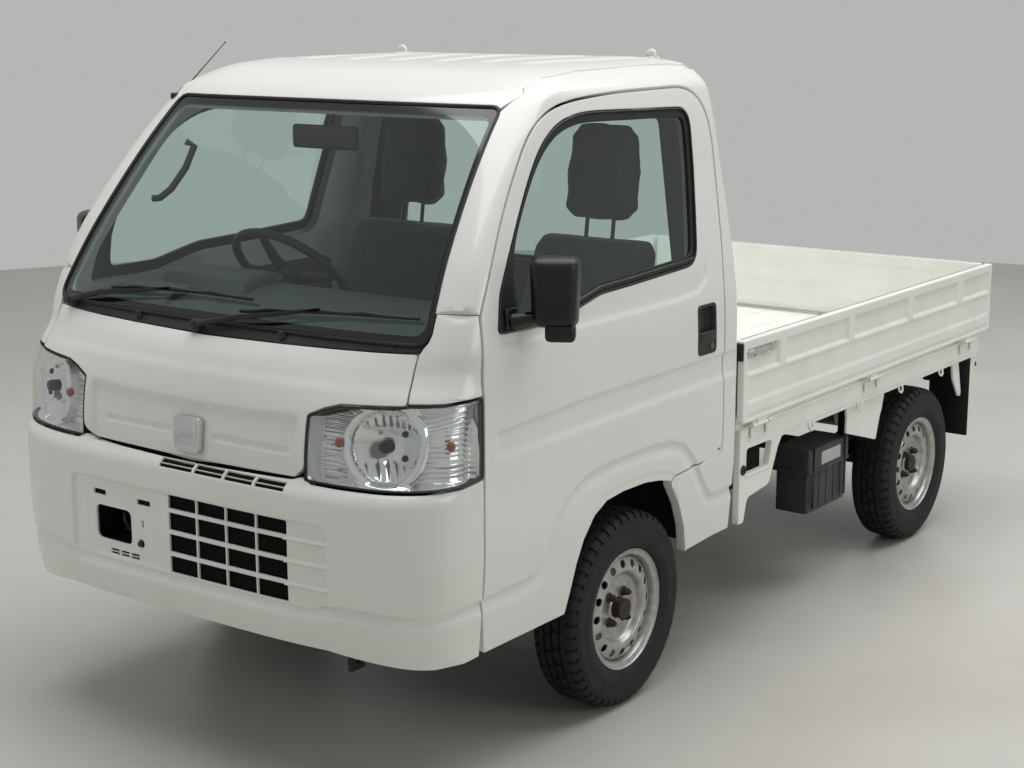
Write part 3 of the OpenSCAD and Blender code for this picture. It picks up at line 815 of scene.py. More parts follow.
nose, half_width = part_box("front_bumper")[0].y, .7375
cab_back = -.200
nose_line = smooth_line([
    (.300, .038), (.420, .008), (.500, 0), (.620, 0), (.745, .005), (.765, .016), (.775, .032),
    (.840, .036), (.930, .049), (1.0, .070), (1.05, .095), (1.085, .127), (1.643, .598), (1.670, .640),
    (1.690, .678), (1.703, .714), (1.713, .768), (1.721, .843), (1.726, .928), (1.730, 1.048),
    (1.7325, 1.10)])
side_line = smooth_line([
    (.300, .022), (.450, .009), (.620, 0), (.950, 0), (1.05, .0035), (1.15, .0155), (1.4, .0615),
    (1.643, .1155), (1.670, .1375), (1.690, .1595), (1.703, .1855), (1.713, .2275), (1.721, .2975),
    (1.726, .3975), (1.730, .5375), (1.7325, .62)])
back_line = smooth_line([
    (.300, 0), (1.640, 0), (1.670, .004), (1.690, .009), (1.703, .016), (1.713, .032), (1.721, .070),
    (1.726, .130), (1.730, .230), (1.7325, .29)])
shoulder_line = smooth_line([(.300, .3175), (1.06, .3175), (1.643, .7575), (1.7325, 1.1600)])
corner_line = smooth_line([
    (.300, 3.7), (.900, 3.9), (1.0, 3.0), (1.05, 2.7), (1.10, 3.0), (1.20, 3.8), (1.30, 4.8),
    (1.60, 5.5), (1.75, 5.6)])


def cab_table():
    """Half plan outlines of the cab, front middle to back middle, at even heights and lengths."""
    heights = np.arange(.300, 1.7326, .0025)
    lengths = np.arange(0, 3.0, .002)
    turn = np.linspace(0, math.pi / 2, 500)
    arc = np.linspace(0, math.pi / 2, 16)
    rows = []
    for z in heights:
        w, power = half_width - side_line(z), 2 / corner_line(z)
        front, shoulder = nose + nose_line(z), nose + shoulder_line(z)
        back = cab_back - back_line(z)
        shoulder = min(shoulder, back - .046)
        x = np.concatenate([w * np.sin(turn) ** power, w - .045 + .045 * np.cos(arc), [0]])
        y = np.concatenate([shoulder - (shoulder - front) * np.maximum(np.cos(turn), 0) ** power,
                            back - .045 + .045 * np.sin(arc), [back]])
        along = np.concatenate([[0], np.cumsum(np.hypot(np.diff(x), np.diff(y)))])
        rows.append([np.interp(lengths, along, x), np.interp(lengths, along, y)])
    return np.array(rows), along


cab_rings, _ = cab_table()


def cab_place(s, z):
    row = np.clip((np.asarray(z) - .300) / .0025, 0, len(cab_rings) - 1.001)
    column = np.clip(np.abs(s) / .002, 0, cab_rings.shape[2] - 1.001)
    i, j = row.astype(int), column.astype(int)
    a, b = row - i, column - j
    x, y = (
        (1 - a) * ((1 - b) * cab_rings[i, k, j] + b * cab_rings[i, k, j + 1])
        + a * ((1 - b) * cab_rings[i + 1, k, j] + b * cab_rings[i + 1, k, j + 1])
        for k in (0, 1))
    return np.stack([np.where(np.asarray(s) < 0, -x, x), y, z + 0 * x], -1)


def cab_skin(s, z):
    """Places and outward normals on the cab at length s round it (left is +) and height z."""
    s, z = np.asarray(s, float), np.asarray(z, float)
    z_low, z_high = np.maximum(z - .003, .300), np.minimum(z + .003, 1.7324)
    along = cab_place(s + .003, z) - cab_place(s - .003, z)
    rising = cab_place(s, z_high) - cab_place(s, z_low)
    normal = np.cross(along, rising)
    return cab_place(s, z), normal / np.maximum(np.linalg.norm(normal, axis=-1), 1e-12)[..., None]


def cab_length(kind, value, z):
    """Length round the cab of a point at x on the front, y on the side, or x on the back."""
    row = np.clip((z - .300) / .0025, 0, len(cab_rings) - 1.001)
    i = int(row)
    x, y = (1 - (row - i)) * cab_rings[i] + (row - i) * cab_rings[i + 1]
    lengths = np.arange(len(x)) * .002
    widest, last = int(np.argmax(x > x.max() - 1e-5)), int(np.argmax(y > y.max() - 1e-5))
    if kind == "front":
        return math.copysign(np.interp(abs(value), x[: widest + 1], lengths[: widest + 1]), value)
    if kind == "side":
        return np.interp(value, y[: last + 1], lengths[: last + 1])
    return np.interp(-value, -x[last - 8 :], lengths[last - 8 :])


def softened(line, rounds, more_above):
    """An open line with its corners worn smooth, far more so in its upper front curve."""
    line = spaced(line, closed=False)
    for k in range(rounds * 5):
        worn_line = (line[:-2] + 2 * line[1:-1] + line[2:]) / 4
        curve = (line[1:-1, 1] > more_above) & (line[1:-1, 0] < -.45)
        line[1:-1] = np.where((curve | (k < rounds))[:, None], worn_line, line[1:-1])
    return line


def laid(kind, outline):
    """An outline of (x, z) or (y, z) points as (length, height) points."""
    return np.array([(cab_length(kind, a, z), z) for a, z in outline])


def plain_skin(form, outline, holes=(), depth=.028, step=.03):
    """The inner skin of a hollow panel, facing in."""
    bm = pressed_sheet(form, outline, holes, lambda u, v: 0 * u - depth, step=step, roll=0, lip=0)
    bmesh.ops.reverse_faces(bm, faces=bm.faces)
    return bm


def joined(*meshes):
    """One mesh of several; each keeps its material index."""
    whole = meshes[0]
    for extra in meshes[1:]:
        spare = bpy.data.meshes.new("spare")
        extra.to_mesh(spare)
        extra.free()
        whole.from_mesh(spare)
        bpy.data.meshes.remove(spare)
    return whole


# Openings and gaps, as (y, z) on the side or (x, z) on the front
door_opening = np.array([
    (-1.414, .345), (-1.428, .440), (-1.428, 1.0), (-1.412, 1.165), (-1.391, 1.205), (-1.302, 1.348),
    (-1.232, 1.439), (-1.137, 1.549), (-1.105, 1.580), (-1.064, 1.604), (-1.0, 1.624), (-.927, 1.636),
    (-.700, 1.648), (-.380, 1.650), (-.335, 1.642), (-.300, 1.622), (-.276, 1.595), (-.264, 1.560),
    (-.258, 1.480), (-.277, 1.296), (-.299, 1.086), (-.3005, .880), (-.297, .640), (-.306, .622),
    (-.326, .612), (-.430, .608), (-.560, .602), (-.574, .588), (-.639, .604), (-.713, .614),
    (-.818, .615), (-.896, .608), (-.959, .578), (-.998, .531), (-1.024, .474), (-1.040, .421),
    (-1.064, .345)])
door_upper = softened(door_opening[3:26], 40, 1.20)
door_opening = np.vstack([door_opening[:3], door_upper, door_opening[26:]])
screen_edge = rounded([(-.6412, 1.083), (.6412, 1.083), (.556, 1.627), (-.556, 1.627)], .035)
back_light = rounded([(-.520, 1.10), (.520, 1.10), (.460, 1.56), (-.460, 1.56)], .04)
roof_crease = [(-1.082, 1.637), (-1.030, 1.666), (-.945, 1.690), (-.79, 1.7008), (-.438, 1.7060),
               (-.30, 1.7045)]

# Where the flare round the wheel arch starts, and the low edge of its slope
flare_line = np.array([
    (-1.60, .499), (-1.416, .497), (-1.271, .495), (-1.204, .502), (-1.169, .540), (-1.130, .614),
    (-1.068, .673), (-.996, .704), (-.872, .719), (-.698, .719), (-.579, .710), (-.512, .689),
    (-.452, .636), (-.404, .563), (-.356, .510), (-.294, .506), (-.211, .509), (-.150, .509)])


def flare(y, z):
    """A short tuck in under the line, then a long slope back out."""
    under = is_inside(np.vstack([flare_line, [(-.15, .2), (-1.6, .2)]]),
                      np.stack([y.ravel(), z.ravel()], 1)).reshape(y.shape)
    gap = np.where(under, line_distance(flare_line, y, z), 0)
    upper = np.array([(-.960, .600), (-.920, .635), (-.808, .648), (-.691, .648), (-.581, .624),
                      (-.550, .600)])
    low_crease = np.where(z < np.interp(y, *upper.T), line_distance(upper, y, z), 0)
    near = (y > -.960) & (y < -.550) & (z > .55)
    return (-.0075 * rise(gap - .005, .010) * (1 - rise(gap - .030, .036))
            - .002 * near * rise(low_crease - .004, .008))


def side_relief(s, z):
    at = cab_place(s, z)
    y, z = at[..., 1], at[..., 2]
    top = np.interp(y, [-1.367, -1.007, -.20], [.886, .900, .905])
    low = np.interp(y, [-1.367, -.20], [.826, .842])
    groove = rise(top - z, .010) * rise(z - low, .026) * (1 - rise(y + .232, .010))
    return flare(y, z) - .0062 * groove


# Side frame: windscreen pillar, roof rail and quarter panel in one pressing round the door
def side_frame():
    z_seam = 1.172
    rail = [(y, z) for y, z in roof_crease]
    screen = [p for p in screen_edge if p[0] > .5 and z_seam + .004 < p[1] < 1.6185]
    screen = sorted(screen, key=lambda p: p[1])
    back_seam = [(half_width - float(side_line(z)) - .072, z)
                 for z in (1.698, 1.60, 1.30, 1.0, .7, .3650)]
    pillar_front = laid("front", [(screen[0][0], z_seam)] + [tuple(p) for p in screen[::2]])
    rail_top = laid("side", spaced(rail, closed=False))
    corner = laid("back", spaced(back_seam, closed=False))
    low_edge = laid("side", [(-.473, .365), (-.493, .444), (-.528, .514), (-.574, .580)][:])
    gap = [(-.306, .622), (-.297, .640)] + [tuple(p) for p in door_upper[::-1]]
    door_edge = laid("side", spaced([(-.574, .5885), (-.560, .602), (-.430, .608),
                                     (-.326, .612)] + gap[:-1] + [(-1.4115, 1.170)], closed=False))
    loop = np.vstack([pillar_front, rail_top, corner, low_edge, door_edge])
    keep = [0]
    for k in range(1, len(loop)):
        if np.hypot(*(loop[k] - loop[keep[-1]])) > .0025:
            keep.append(k)
    return loop[keep]


side_loop = side_frame()[::-1]
outer = pressed_sheet(cab_skin, side_loop, relief=side_relief, lip=.026)
inner = plain_skin(cab_skin, side_loop, depth=.026)
frame_left = joined(outer, inner)
frame_right = mirrored(frame_left)
finished("left_side_frame", frame_left, [white_enamel], "truck", ["cab_shell"])
finished("right_side_frame", frame_right, [white_enamel], "truck")


# Roof: one pressing in plan, from the windscreen header to the top of the back
def roof_height(x, y):
    low, high = np.full(np.shape(x), 1.50), np.full(np.shape(x), 1.7324)
    for _ in range(22):
        z = (low + high) / 2
        w, power = half_width - side_line(z), corner_line(z)
        front, back = nose + nose_line(z), cab_back - back_line(z)
        shoulder = np.minimum(nose + shoulder_line(z), back - .046)
        reach = np.clip((shoulder - y) / (shoulder - front), 0, 1)
        side = w * np.maximum(1 - reach**power, 0) ** (1 / power)
        past = np.clip(y - (back - .045), 0, .045)
        side = side - (.045 - np.sqrt(.045**2 - past**2))
        within = (np.abs(x) <= side) & (y <= back) & (y >= front)
        low, high = np.where(within, z, low), np.where(within, high, z)
    return low


def roof_skin(x, y):
    x, y = np.asarray(x, float), np.asarray(y, float)
    z = roof_height(x, y)
    step = .003
    slope_x = (roof_height(x + step, y) - roof_height(x - step, y)) / (2 * step)
    slope_y = (roof_height(x, y + step) - roof_height(x, y - step)) / (2 * step)
    slope_x, slope_y = np.clip(slope_x, -2.5, 2.5), np.clip(slope_y, -2.5, 2.5)
    normal = np.stack([-slope_x, -slope_y, np.ones_like(z)], -1)
    return np.stack([x, y, z], -1), normal / np.linalg.norm(normal, axis=-1)[..., None]


def roof_relief(x, y):
    along = rise(y + .83, .09) * (1 - rise(y + .30, .06))
    ribs = sum(1 - rise(abs(np.abs(x) - c) - .026, .014) for c in (0.0, .155, .31, .44))
    crown = (-.004 * rise(y + .90, .40) * (1 - rise(y + .27, .12))
             * np.clip(1 - (x / .53) ** 2, 0, 1))
    return crown - .0045 * along * np.clip(ribs, 0, 1)


crease_points = cab_place(*laid("side", spaced(roof_crease, closed=False)).T)
header = np.array([p for p in screen_edge if p[1] > 1.618])
header = header[np.argsort(header[:, 0])]
header_points = cab_place(*laid("front", header).T)
rear_edge = cab_place(*np.array([(s, 1.7015) for s in np.linspace(
    cab_length("side", -.262, 1.7015), cab_length("back", .002, 1.7015), 90)]).T)
roof_half = np.vstack([header_points[header_points[:, 0] > 0][:, :2], crease_points[:, :2],
                       rear_edge[:, :2]])
keep = [0]
for k in range(1, len(roof_half)):
    if np.hypot(*(roof_half[k] - roof_half[keep[-1]])) > .003:
        keep.append(k)
roof_half = roof_half[keep]
roof_loop = np.vstack([roof_half, (roof_half * (-1, 1))[::-1]])
outer = pressed_sheet(roof_skin, roof_loop, relief=roof_relief, step=.020, roll=.001, lip=.012)
headliner = plain_skin(roof_skin, roof_loop, depth=.024, step=.04)
for face in headliner.faces:
    face.material_index = 1
finished("roof_panel", joined(outer, headliner), [white_enamel, grey_lining], "truck",
         ["cab_roof"])


# Back panel with its window, ribs pressed in below it, and a grey board inside
def back_skin(u, z):
    y = cab_back - back_line(z)
    slope = (back_line(z + .002) - back_line(z - .002)) / .004
    normal = np.stack([0 * u, 1 + 0 * u, slope], -1)
    return np.stack([-u, y, z + 0 * u], -1), normal / np.linalg.norm(normal, axis=-1)[..., None]


def back_relief(u, z):
    ribs = sum(1 - rise(abs(z - c) - .016, .014) for c in (.76, .86, .96, 1.045))
    return -.005 * np.clip(ribs, 0, 1) * (1 - rise(abs(u) - .52, .05))


back_half = [(half_width - float(side_line(z)) - .074, z) for z in (.3650, .7, 1.0, 1.3, 1.6, 1.695)]
back_loop = spaced([(-x, z) for x, z in back_half][::-1] + back_half)[::-1]
outer = pressed_sheet(back_skin, back_loop, [back_light], back_relief, step=.024, lip=.016)
board = plain_skin(back_skin, back_loop, [back_light], .018, .05)
for face in board.faces:
    face.material_index = 1
finished("back_panel", joined(outer, board), [white_enamel, grey_lining], "truck")
glass = pressed_sheet(back_skin, back_light + outward(back_light) * .001,
                      relief=lambda u, z: 0 * u - .006, step=.05, roll=0, lip=.004)
finished("rear_glass", glass, [clear_glass], "truck", ["rear_window"])
bm = bmesh.new()
add_strip(bm, back_skin, spaced(back_light),
          [(-.012, -.010), (-.012, .003), (0, .0065), (.012, .003), (.012, 0.0),
           (.002, -.010)])
finished("rear_glass_rubber", bm, [black_rubber], "truck")

# ---------------------------------------------------------------------------
# Nose. A pressed steel lid and corner panels over a moulded bumper in body colour,
# with a black wire mesh behind its grille over a near-black sheet of painted shade, and a
# matt black cowl under the windscreen.
# The badge place holds a plain satin-chrome blank.
# Body colour over plastic: same white, a little softer in the reflections
body_plastic = plain_finish(
    "painted bumper moulding", ("#e5e6e1", "#e0e1da"), 500, (7, .006, .3, .38), Coat_Weight=.45,
    Coat_Roughness=.08, Specular_IOR_Level=.45)

# Unpainted polypropylene: charcoal with a fine leather grain
moulded_black = plain_finish(
    "moulded black plastic", ("#212223", "#292a2b"), 90, (1.3, .12, .4, .6), Specular_IOR_Level=.4)

# Plated plastic: bright, with a soft blur
satin_chrome = plain_finish(
    "satin chrome", ("#d9dbdb", "#cdd0d0"), 60, (5, .003, .1, .18), Metallic=1.0)

# The wire mesh: near black, matt. The same near black on the sheets behind the grille and the slots,
# and in the towing eye's pocket, is painted shade
mesh_black_and_painted_shade = plain_finish(
    "black mesh and painted shade", ("#0a0b0b", "#101112"), 20, (2, .2, .7, .9), Specular_IOR_Level=.2)


def both_sides(half):
    """A closed outline from its half on the left of the truck."""
    half = np.array(half)
    other = (half * (-1, 1))[::-1]
    return np.vstack([half, other[abs(other[:, 0]) > 1e-4]])


def field(x, z, low, high, slope, bend=0.0):
    """1 inside a rounded box and 0 outside, soft over the slope."""
    dx = np.maximum(low[0] - x, x - high[0]) + bend
    dz = np.maximum(low[1] - z, z - high[1]) + bend
    gap = np.hypot(np.maximum(dx, 0), np.maximum(dz, 0)) + np.minimum(np.maximum(dx, dz), 0) - bend
    return 1 - rise(gap + slope / 2, slope)


lid_half = rounded([(0, 1.0755), (.616, 1.0845), (.617, 1.043), (.622, 1.004), (.6265, .9745),
                    (.470, .968), (.428, .956), (.3835, .936), (.3835, .808), (.345, .7815),
                    (0, .7760)],
                   [0, .008, 0, 0, .006, .010, .02, .008, .028, .02, 0], closed=False)[:, :2]
lid_half[0, 0] = lid_half[-1, 0] = 0


def lid_relief(s, z):
    at = cab_place(s, z)
    x = at[..., 0]
    top = .926 + .012 * np.clip(abs(x) - .19, 0, .2) / .2
    edge = .352 + .10 * np.clip(.93 - z, 0, .03)
    step_in = -.0135 * rise(top - .012 - z, .024) * (1 - rise(abs(x) - edge, .03))
    upper = -.0035 * rise(z - 1.002, .03)
    rib = (1 - rise(abs(z - .839) - .0075, .007)) * (
        (1 - rise(abs(x + .187) - .119, .014)) + (1 - rise(abs(x - .200) - .124, .014)))
    return step_in + upper - .0058 * rib


def front_outline(points):
    return laid("front", spaced(points))


lid_loop = front_outline(both_sides(lid_half))
outer = pressed_sheet(cab_skin, lid_loop, relief=lid_relief, lip=.022)
inner = plain_skin(cab_skin, lid_loop, depth=.020)
finished("nose_lid", joined(outer, inner), [white_enamel], "truck", ["front_panel"])

# Corner panels between the lid, the lamp, the door and the pillar
corner_front = laid("front",
                    spaced([(.632, 1.172), (.637, 1.128), (.634, 1.110), (.626, 1.096), (.6205, 1.081),
                            (.621, 1.043), (.626, 1.004), (.6305, .979), (.700, .9795)], closed=False))
corner_side = laid("side", spaced([(-1.470, .9835), (-1.4285, .986), (-1.4285, 1.0), (-1.4130, 1.1650),
                                   (-1.4120, 1.1690)], closed=False))
corner_loop = np.vstack([corner_front, corner_side])


def corner_relief(s, z):
    return -.0035 * rise(z - 1.002, .03) * (1 - rise(z - 1.06, .05))


outer = pressed_sheet(cab_skin, corner_loop, relief=corner_relief, lip=.022)
inner = plain_skin(cab_skin, corner_loop, depth=.020)
panel = joined(outer, inner)
on_both_sides(("corner_panel", panel, white_enamel, "white_paint", "corner_panels"))

# Bumper
bumper_side_y = -1.4285
bumper_low = laid("front",
                  spaced([(0, .376), (.45, .376), (.55, .364), (.651, .350), (.690, .3465)],
                         closed=False))
bumper_end = laid("side",
                  spaced([(-1.485, .3455), (bumper_side_y, .349), (bumper_side_y, .786),
                          (-1.50, .7775)], closed=False))
bumper_top = laid("front",
                  rounded([(.700, .7755), (.600, .7735), (.480, .7735), (.405, .7745), (.374, .786),
                                    (.345, .7770), (0, .7715)], [0, .02, .02, .01, .006, .02, 0],
                                    closed=False))
bumper_half = np.vstack([bumper_low, bumper_end, bumper_top])
bumper_half[0, 0] = bumper_half[-1, 0] = 0
bumper_loop = both_sides(bumper_half)


def bumper_relief(s, z):
    at = cab_place(s, z)
    x = at[..., 0]
    tray = -.0090 * field(x, z, (-.413, .470), (.474, .690), .012, .03)
    bars = sum(1 - rise(abs(z - c) - .0045, .006) for c in (.641, .585, .5285))
    bars = .0085 * bars * rise(x - .338, .006) * (1 - rise(x - .468, .008))
    plate = -.0018 * field(x, z, (-.356, .484), (-.070, .672), .004, .008)
    line = np.interp(abs(x), [0, .42, .50, .53, .636, .691, .7375],
                     [.482, .482, .499, .498, .489, .486, .494])
    under = line - z
    crease = (-(.0075 + .0035 * (1 - rise(abs(x) - .62, .08))) * rise(under - .005, .010)
              * (1 - rise(under - .026, .030)) * np.where(abs(x) < .45, rise(under - .001, .004), 1))
    tow = .0020 * field(x, z, (-.330, .515), (-.177, .624), .006, .016)
    return np.minimum(tray * rise(z - .478, .010) + bars + plate + tow, 0.0) + crease


def front_hole(low, high, radius):
    points = rounded([(low[0], low[1]), (high[0], low[1]), (high[0], high[1]), (low[0], high[1])],
                     radius)
    return laid("front", points)


grille_rows = ((.479, .5240), (.5330, .5805), (.5895, .6365), (.6455, .6840))
grille_holes = [front_hole((-.048 + .1 * i, low + .002), (.0465 + .1 * i, high), .002)
                for i in range(4) for low, high in grille_rows]
tow_hole = front_hole((-.320, .525), (-.187, .614), .018)
small_holes = [front_hole((-.330, .640), (-.283, .654), .002),
               front_hole((-.164, .637), (-.117, .651), .002),
               front_hole((-.149, .578), (-.143, .597), .0015)]
small_holes += [front_hole((-.271 + .038 * i, .4885 + .0085 * j), (-.240 + .038 * i, .4948 + .0085 * j),
                           .001)
                for i in range(3) for j in range(2)]
small_holes += [laid("front", ring_of((-.154, .535), .0105, 24))]
slot_holes = [front_hole((left, .7525 + .0100 * j), (right, .7600 + .0100 * j), .001)
              for left, right in ((-.074, .039), (.047, .141), (.149, .241),
                                  (.249, .340)) for j in range(2)]
outer = pressed_sheet(cab_skin, bumper_loop, grille_holes + [tow_hole] + small_holes + slot_holes,
                      bumper_relief, lip=.020, hole_lip=.0045)
inner = plain_skin(cab_skin, bumper_loop,
                   [front_hole((-.06, .470), (.36, .692), .004),
                    front_hole((-.335, .515), (-.170, .630), .01)], depth=.024)
finished("bumper_moulding", joined(outer, inner), [body_plastic], "truck",
         ["front_bumper"])

# Mesh behind the grille over a near-black sheet, a near-black tray behind the small slots, and the
# towing eye's pocket: the near black of the sheet, the tray and the pocket is painted shade
bm = bmesh.new()
for x0, x1, z0, z1, back in ((-.352, .352, .474, .690, -.0185), (-.085, .352, .7490, .7735, -.0075)):
    loop = front_hole((x0, z0), (x1, z1), .004)
    sheet = pressed_sheet(cab_skin, loop, [tow_hole] if z0 < .6 else [], lambda s, z: 0 * s + back,
                          step=.03, roll=0, lip=0)
    bm = joined(bm, sheet)
wires = bmesh.new()
for k in range(26):
    z = .478 + k * .0083
    middle = cab_place(np.linspace(-.05, .345, 12), np.full(12, z))
    add_rod(wires, middle + (0, .016, 0), .0011, 5, caps=False)
for k in range(30):
    x = -.045 + k * .0135
    column = cab_place(np.full(7, x), np.linspace(.478, .688, 7))
    add_rod(wires, column + (0, .018, 0), .0011, 5, caps=False)
finished("grille_mesh_and_painted_shade", joined(bm, wires), [mesh_black_and_painted_shade], "truck")

# The towing eye's pocket: its walls are the same near black, painted shade
bm = bmesh.new()
for low, high in (((-.325, .005, .520), (-.182, .008, .620)),
                  ((-.325, -.085, .520), (-.322, .007, .620)),
                  ((-.185, -.085, .520), (-.182, .007, .620)),
                  ((-.325, -.085, .520), (-.182, .007, .523)),
                  ((-.325, -.085, .617), (-.182, .007, .620))):
    add_block(bm, (low[0], nose + .100 + low[1], low[2]), (high[0], nose + .100 + high[1], high[2]),
              .001, 1)
finished("tow_pocket", bm, [mesh_black_and_painted_shade], "truck")
bm = bmesh.new()
hook_y = nose + .055
add_rod(bm, [(-.285 + .022 * math.cos(a), hook_y + .028 + .012 * math.sin(a * .5),
              .560 + .022 * math.sin(a))
             for a in np.linspace(0, math.tau, 25)], .0065, 10)
add_rod(bm, [(-.263, hook_y + .028, .560), (-.215, hook_y + .040, .560), (-.195, hook_y + .046, .560)],
        .0075, 10)
add_block(bm, (-.300, hook_y + .030, .528), (-.195, hook_y + .040, .538), .002, 1)
finished("towing_eye", bm, [dull_steel], "truck")

# Round cap in the plate field, and the blank in the badge place
bm = bmesh.new()
at, normal = cab_skin(np.array([cab_length("front", -.154, .535)]), np.array([.535]))
add_turned(bm, [(0, -.003), (.0062, -.003), (.0072, -.0055), (.0085, -.008)], at[0], normal[0], 24)
finished("bumper_cap", bm, [moulded_black], "truck")

badge = rounded([(-.043, .793), (.043, .793), (.047, .883), (-.047, .883)], .016)


def badge_relief(s, z):
    x = s
    return -.0005 + .0032 * (1 - field(x, z, (-.036, .802), (.037, .874), .004, .008))


bm = pressed_sheet(cab_skin, laid("front", badge), relief=badge_relief, step=.009, roll=.002, lip=.012)
finished("badge_blank", bm, [satin_chrome], "truck")

# Cowl with its end seam, and the washer nozzles
cowl_low = [(x, 1.0785 + .0095 * (x / .62) ** 2) for x in np.linspace(-.618, .618, 40)]
cowl_high = [(x, 1.1165 - .0045 * (x / .6) ** 2) for x in np.linspace(.6245, -.6245, 40)]
cowl_loop = front_outline(np.array(cowl_low + cowl_high))
bm = pressed_sheet(cab_skin, cowl_loop,
                   relief=lambda s, z: -.004 - .003 * (1 - rise(abs(abs(s) - .56) - .001, .002))
                   - .004 * rise(z - 1.108, .006), lip=.018)
for x, y in ((-.264, -1.557), (.236, -1.563)):
    z = 1.093
    at, normal = cab_skin(np.array([cab_length("front", x, z)]), np.array([z]))
    at, normal = Vector(at[0]), Vector(normal[0])
    add_turned(bm, [(.0095, -.006), (.0095, .001), (.0075, .006), (.004, .0085), (0, .009)], at, normal,
               20)
    add_block(bm, at + Vector((-.006, -.010, .000)), at + Vector((.006, .004, .012)), .003, 2)
finished("cowl_moulding", bm, [moulded_black], "truck", ["cowl"])

# Windscreen: laminated glass with a baked black border, set in a rubber moulding
screen_low_z = 1.1075
glass_points = rounded([(-.6345, screen_low_z), (.6345, screen_low_z), (.552, 1.6225), (-.552, 1.6225)],
                       .033)
clear_points = rounded([(-.620, screen_low_z + .015), (.620, screen_low_z + .015), (.5405, 1.603),
                        (-.5405, 1.603)], .030)
bm = pressed_sheet(cab_skin, laid("front", glass_points), relief=lambda s, z: 0 * s - .003, step=.03,
                   lip=.005, bands=[laid("front", clear_points)])
finished("windscreen_glass", bm, [clear_glass, black_frit], "truck", ["windscreen"])
bm = bmesh.new()
rubber_points = rounded([(-.6375, screen_low_z - .006), (.6375, screen_low_z - .006), (.5545, 1.6255),
                         (-.5545, 1.6255)], .035)
add_strip(bm, cab_skin, laid("front", rubber_points),
          [(-.005, -.012), (-.007, -.001), (-.003, .0022), (.0015, .0018), (.0030, -.0012),
           (.0030, -.012)])
finished("windscreen_rubber", bm, [black_rubber], "truck")

# Pinch flange under the rubber, seen as the white edge round the opening from inside
flange_edge = rounded([(-.646, 1.080), (.646, 1.080), (.563, 1.636), (-.563, 1.636)], .035)
flange_hole = rounded([(-.6185, 1.1215), (.6185, 1.1215), (.5395, 1.6045), (-.5395, 1.6045)], .030)
bm = pressed_sheet(cab_skin, laid("front", flange_edge), [laid("front", flange_hole)],
                   lambda s, z: 0 * s - .014, step=.04, roll=0, lip=.008)
finished("windscreen_flange", bm, [inner_enamel], "truck")

# ---------------------------------------------------------------------------
# Headlamps. Clear moulded lenses over plated reflectors in a black gasket: a round
# main bowl cut off flat above and below, a ribbed turn cell inboard and a ribbed
# corner cell outboard, each with an amber bulb.
# Aluminium film with a trace of haze; its mirror brightness is partly painted reflection: a near-white
# diffuse share (Metallic .72) keeps it bright where a true mirror would show dark surroundings
reflector_with_painted_reflection = plain_finish(
    "vacuum plated reflector with painted reflection", ("#f4f5f5", "#e8eaeb"), 40, (6, .004, .05, .12), Metallic=.72)

# Polycarbonate: colourless, with a sharp reflection at a low angle
clear_lens = see_through("clear lamp lens", "#f4f6f5", "#ffffff", .6, .05)

# Dyed bulb glass: deep orange-red
amber_bulb = plain_finish(
    "amber bulb glass", ("#a3401c", "#8a3115"), 8, (3, .01, .1, .2), Coat_Weight=.6)

lamp_outline = [(.384, .933), (.430, .953), (.470, .9645), (.600, .9705), (.6305, .9745), (.700, .9765)]
lamp_front_top = laid("front", spaced(lamp_outline, closed=False))
lamp_end = laid("side", spaced([(-1.470, .9790), (bumper_side_y, .9815), (bumper_side_y, .7905),
                                (-1.50, .7825)], closed=False))
lamp_front_low = laid("front",
                      spaced([(.700, .7805), (.600, .7775), (.480, .7775), (.384, .7790)],
                             closed=False))
lamp_raw = np.vstack([lamp_front_top, lamp_end, lamp_front_low])[::-1]
lamp_loop = rounded(lamp_raw[np.r_[True, np.hypot(*np.diff(lamp_raw, axis=0).T) > .004]], .003)
lens_loop = spaced(lamp_loop - outward(lamp_loop) * .0030)
main_s = cab_length("front", .588, .880)
turn_s, outer_s = cab_length("front", .478, .880), cab_length("side", -1.545, .880)


def reflector_relief(s, z):
    across = (s - main_s) / 1.0
    ring = np.hypot(across, z - .879)
    bowl = -.058 * (1 - np.clip(ring / .094, 0, 1) ** 2) - .020
    fluted = .0035 * np.abs(np.sin((s - main_s) * 165)) * rise(z - .925, .012) * (ring < .088)
    low_flutes = (.0022 * np.abs(np.sin((s - main_s) * 120 + (z - .82) * 60))
                  * rise(.835 - z, .02) * (ring < .088))
    main = bowl + fluted + low_flutes
    bezel = -.016 + .006 * np.cos(np.clip((ring - .104) / .0135, -1, 1) * math.pi / 2)
    turn = (-.034 + .0022 * np.abs(np.sin((z - .8) * math.pi / .0062))
            - .012 * np.cos(np.clip((s - turn_s + .045) / .05, -1, 1) * 1.2))
    corner = (-.032 + .0030 * np.abs(np.sin((z - .8) * math.pi / .0125))
              + .012 * np.sin((s - outer_s) * 22))
    cell = np.where(s < main_s, turn, corner)
    depth = np.where(ring < .092, main, np.where(ring < .117, bezel, cell))
    gap = np.clip(np.minimum(.972 - z, z - .782) / .010, 0, 1)
    ends = np.clip(np.minimum(s - cab_length("front", .388, .86),
                              cab_length("side", -1.432, .86) - s) / .010, 0, 1)
    return depth * gap * ends - .009


def sphere(bm, place, radius, stretch=(1, 1, 1)):
    bmesh.ops.create_uvsphere(bm, u_segments=24, v_segments=14, radius=radius,
                              matrix=Matrix.Translation(place) @ Matrix.Diagonal((*stretch, 1)))


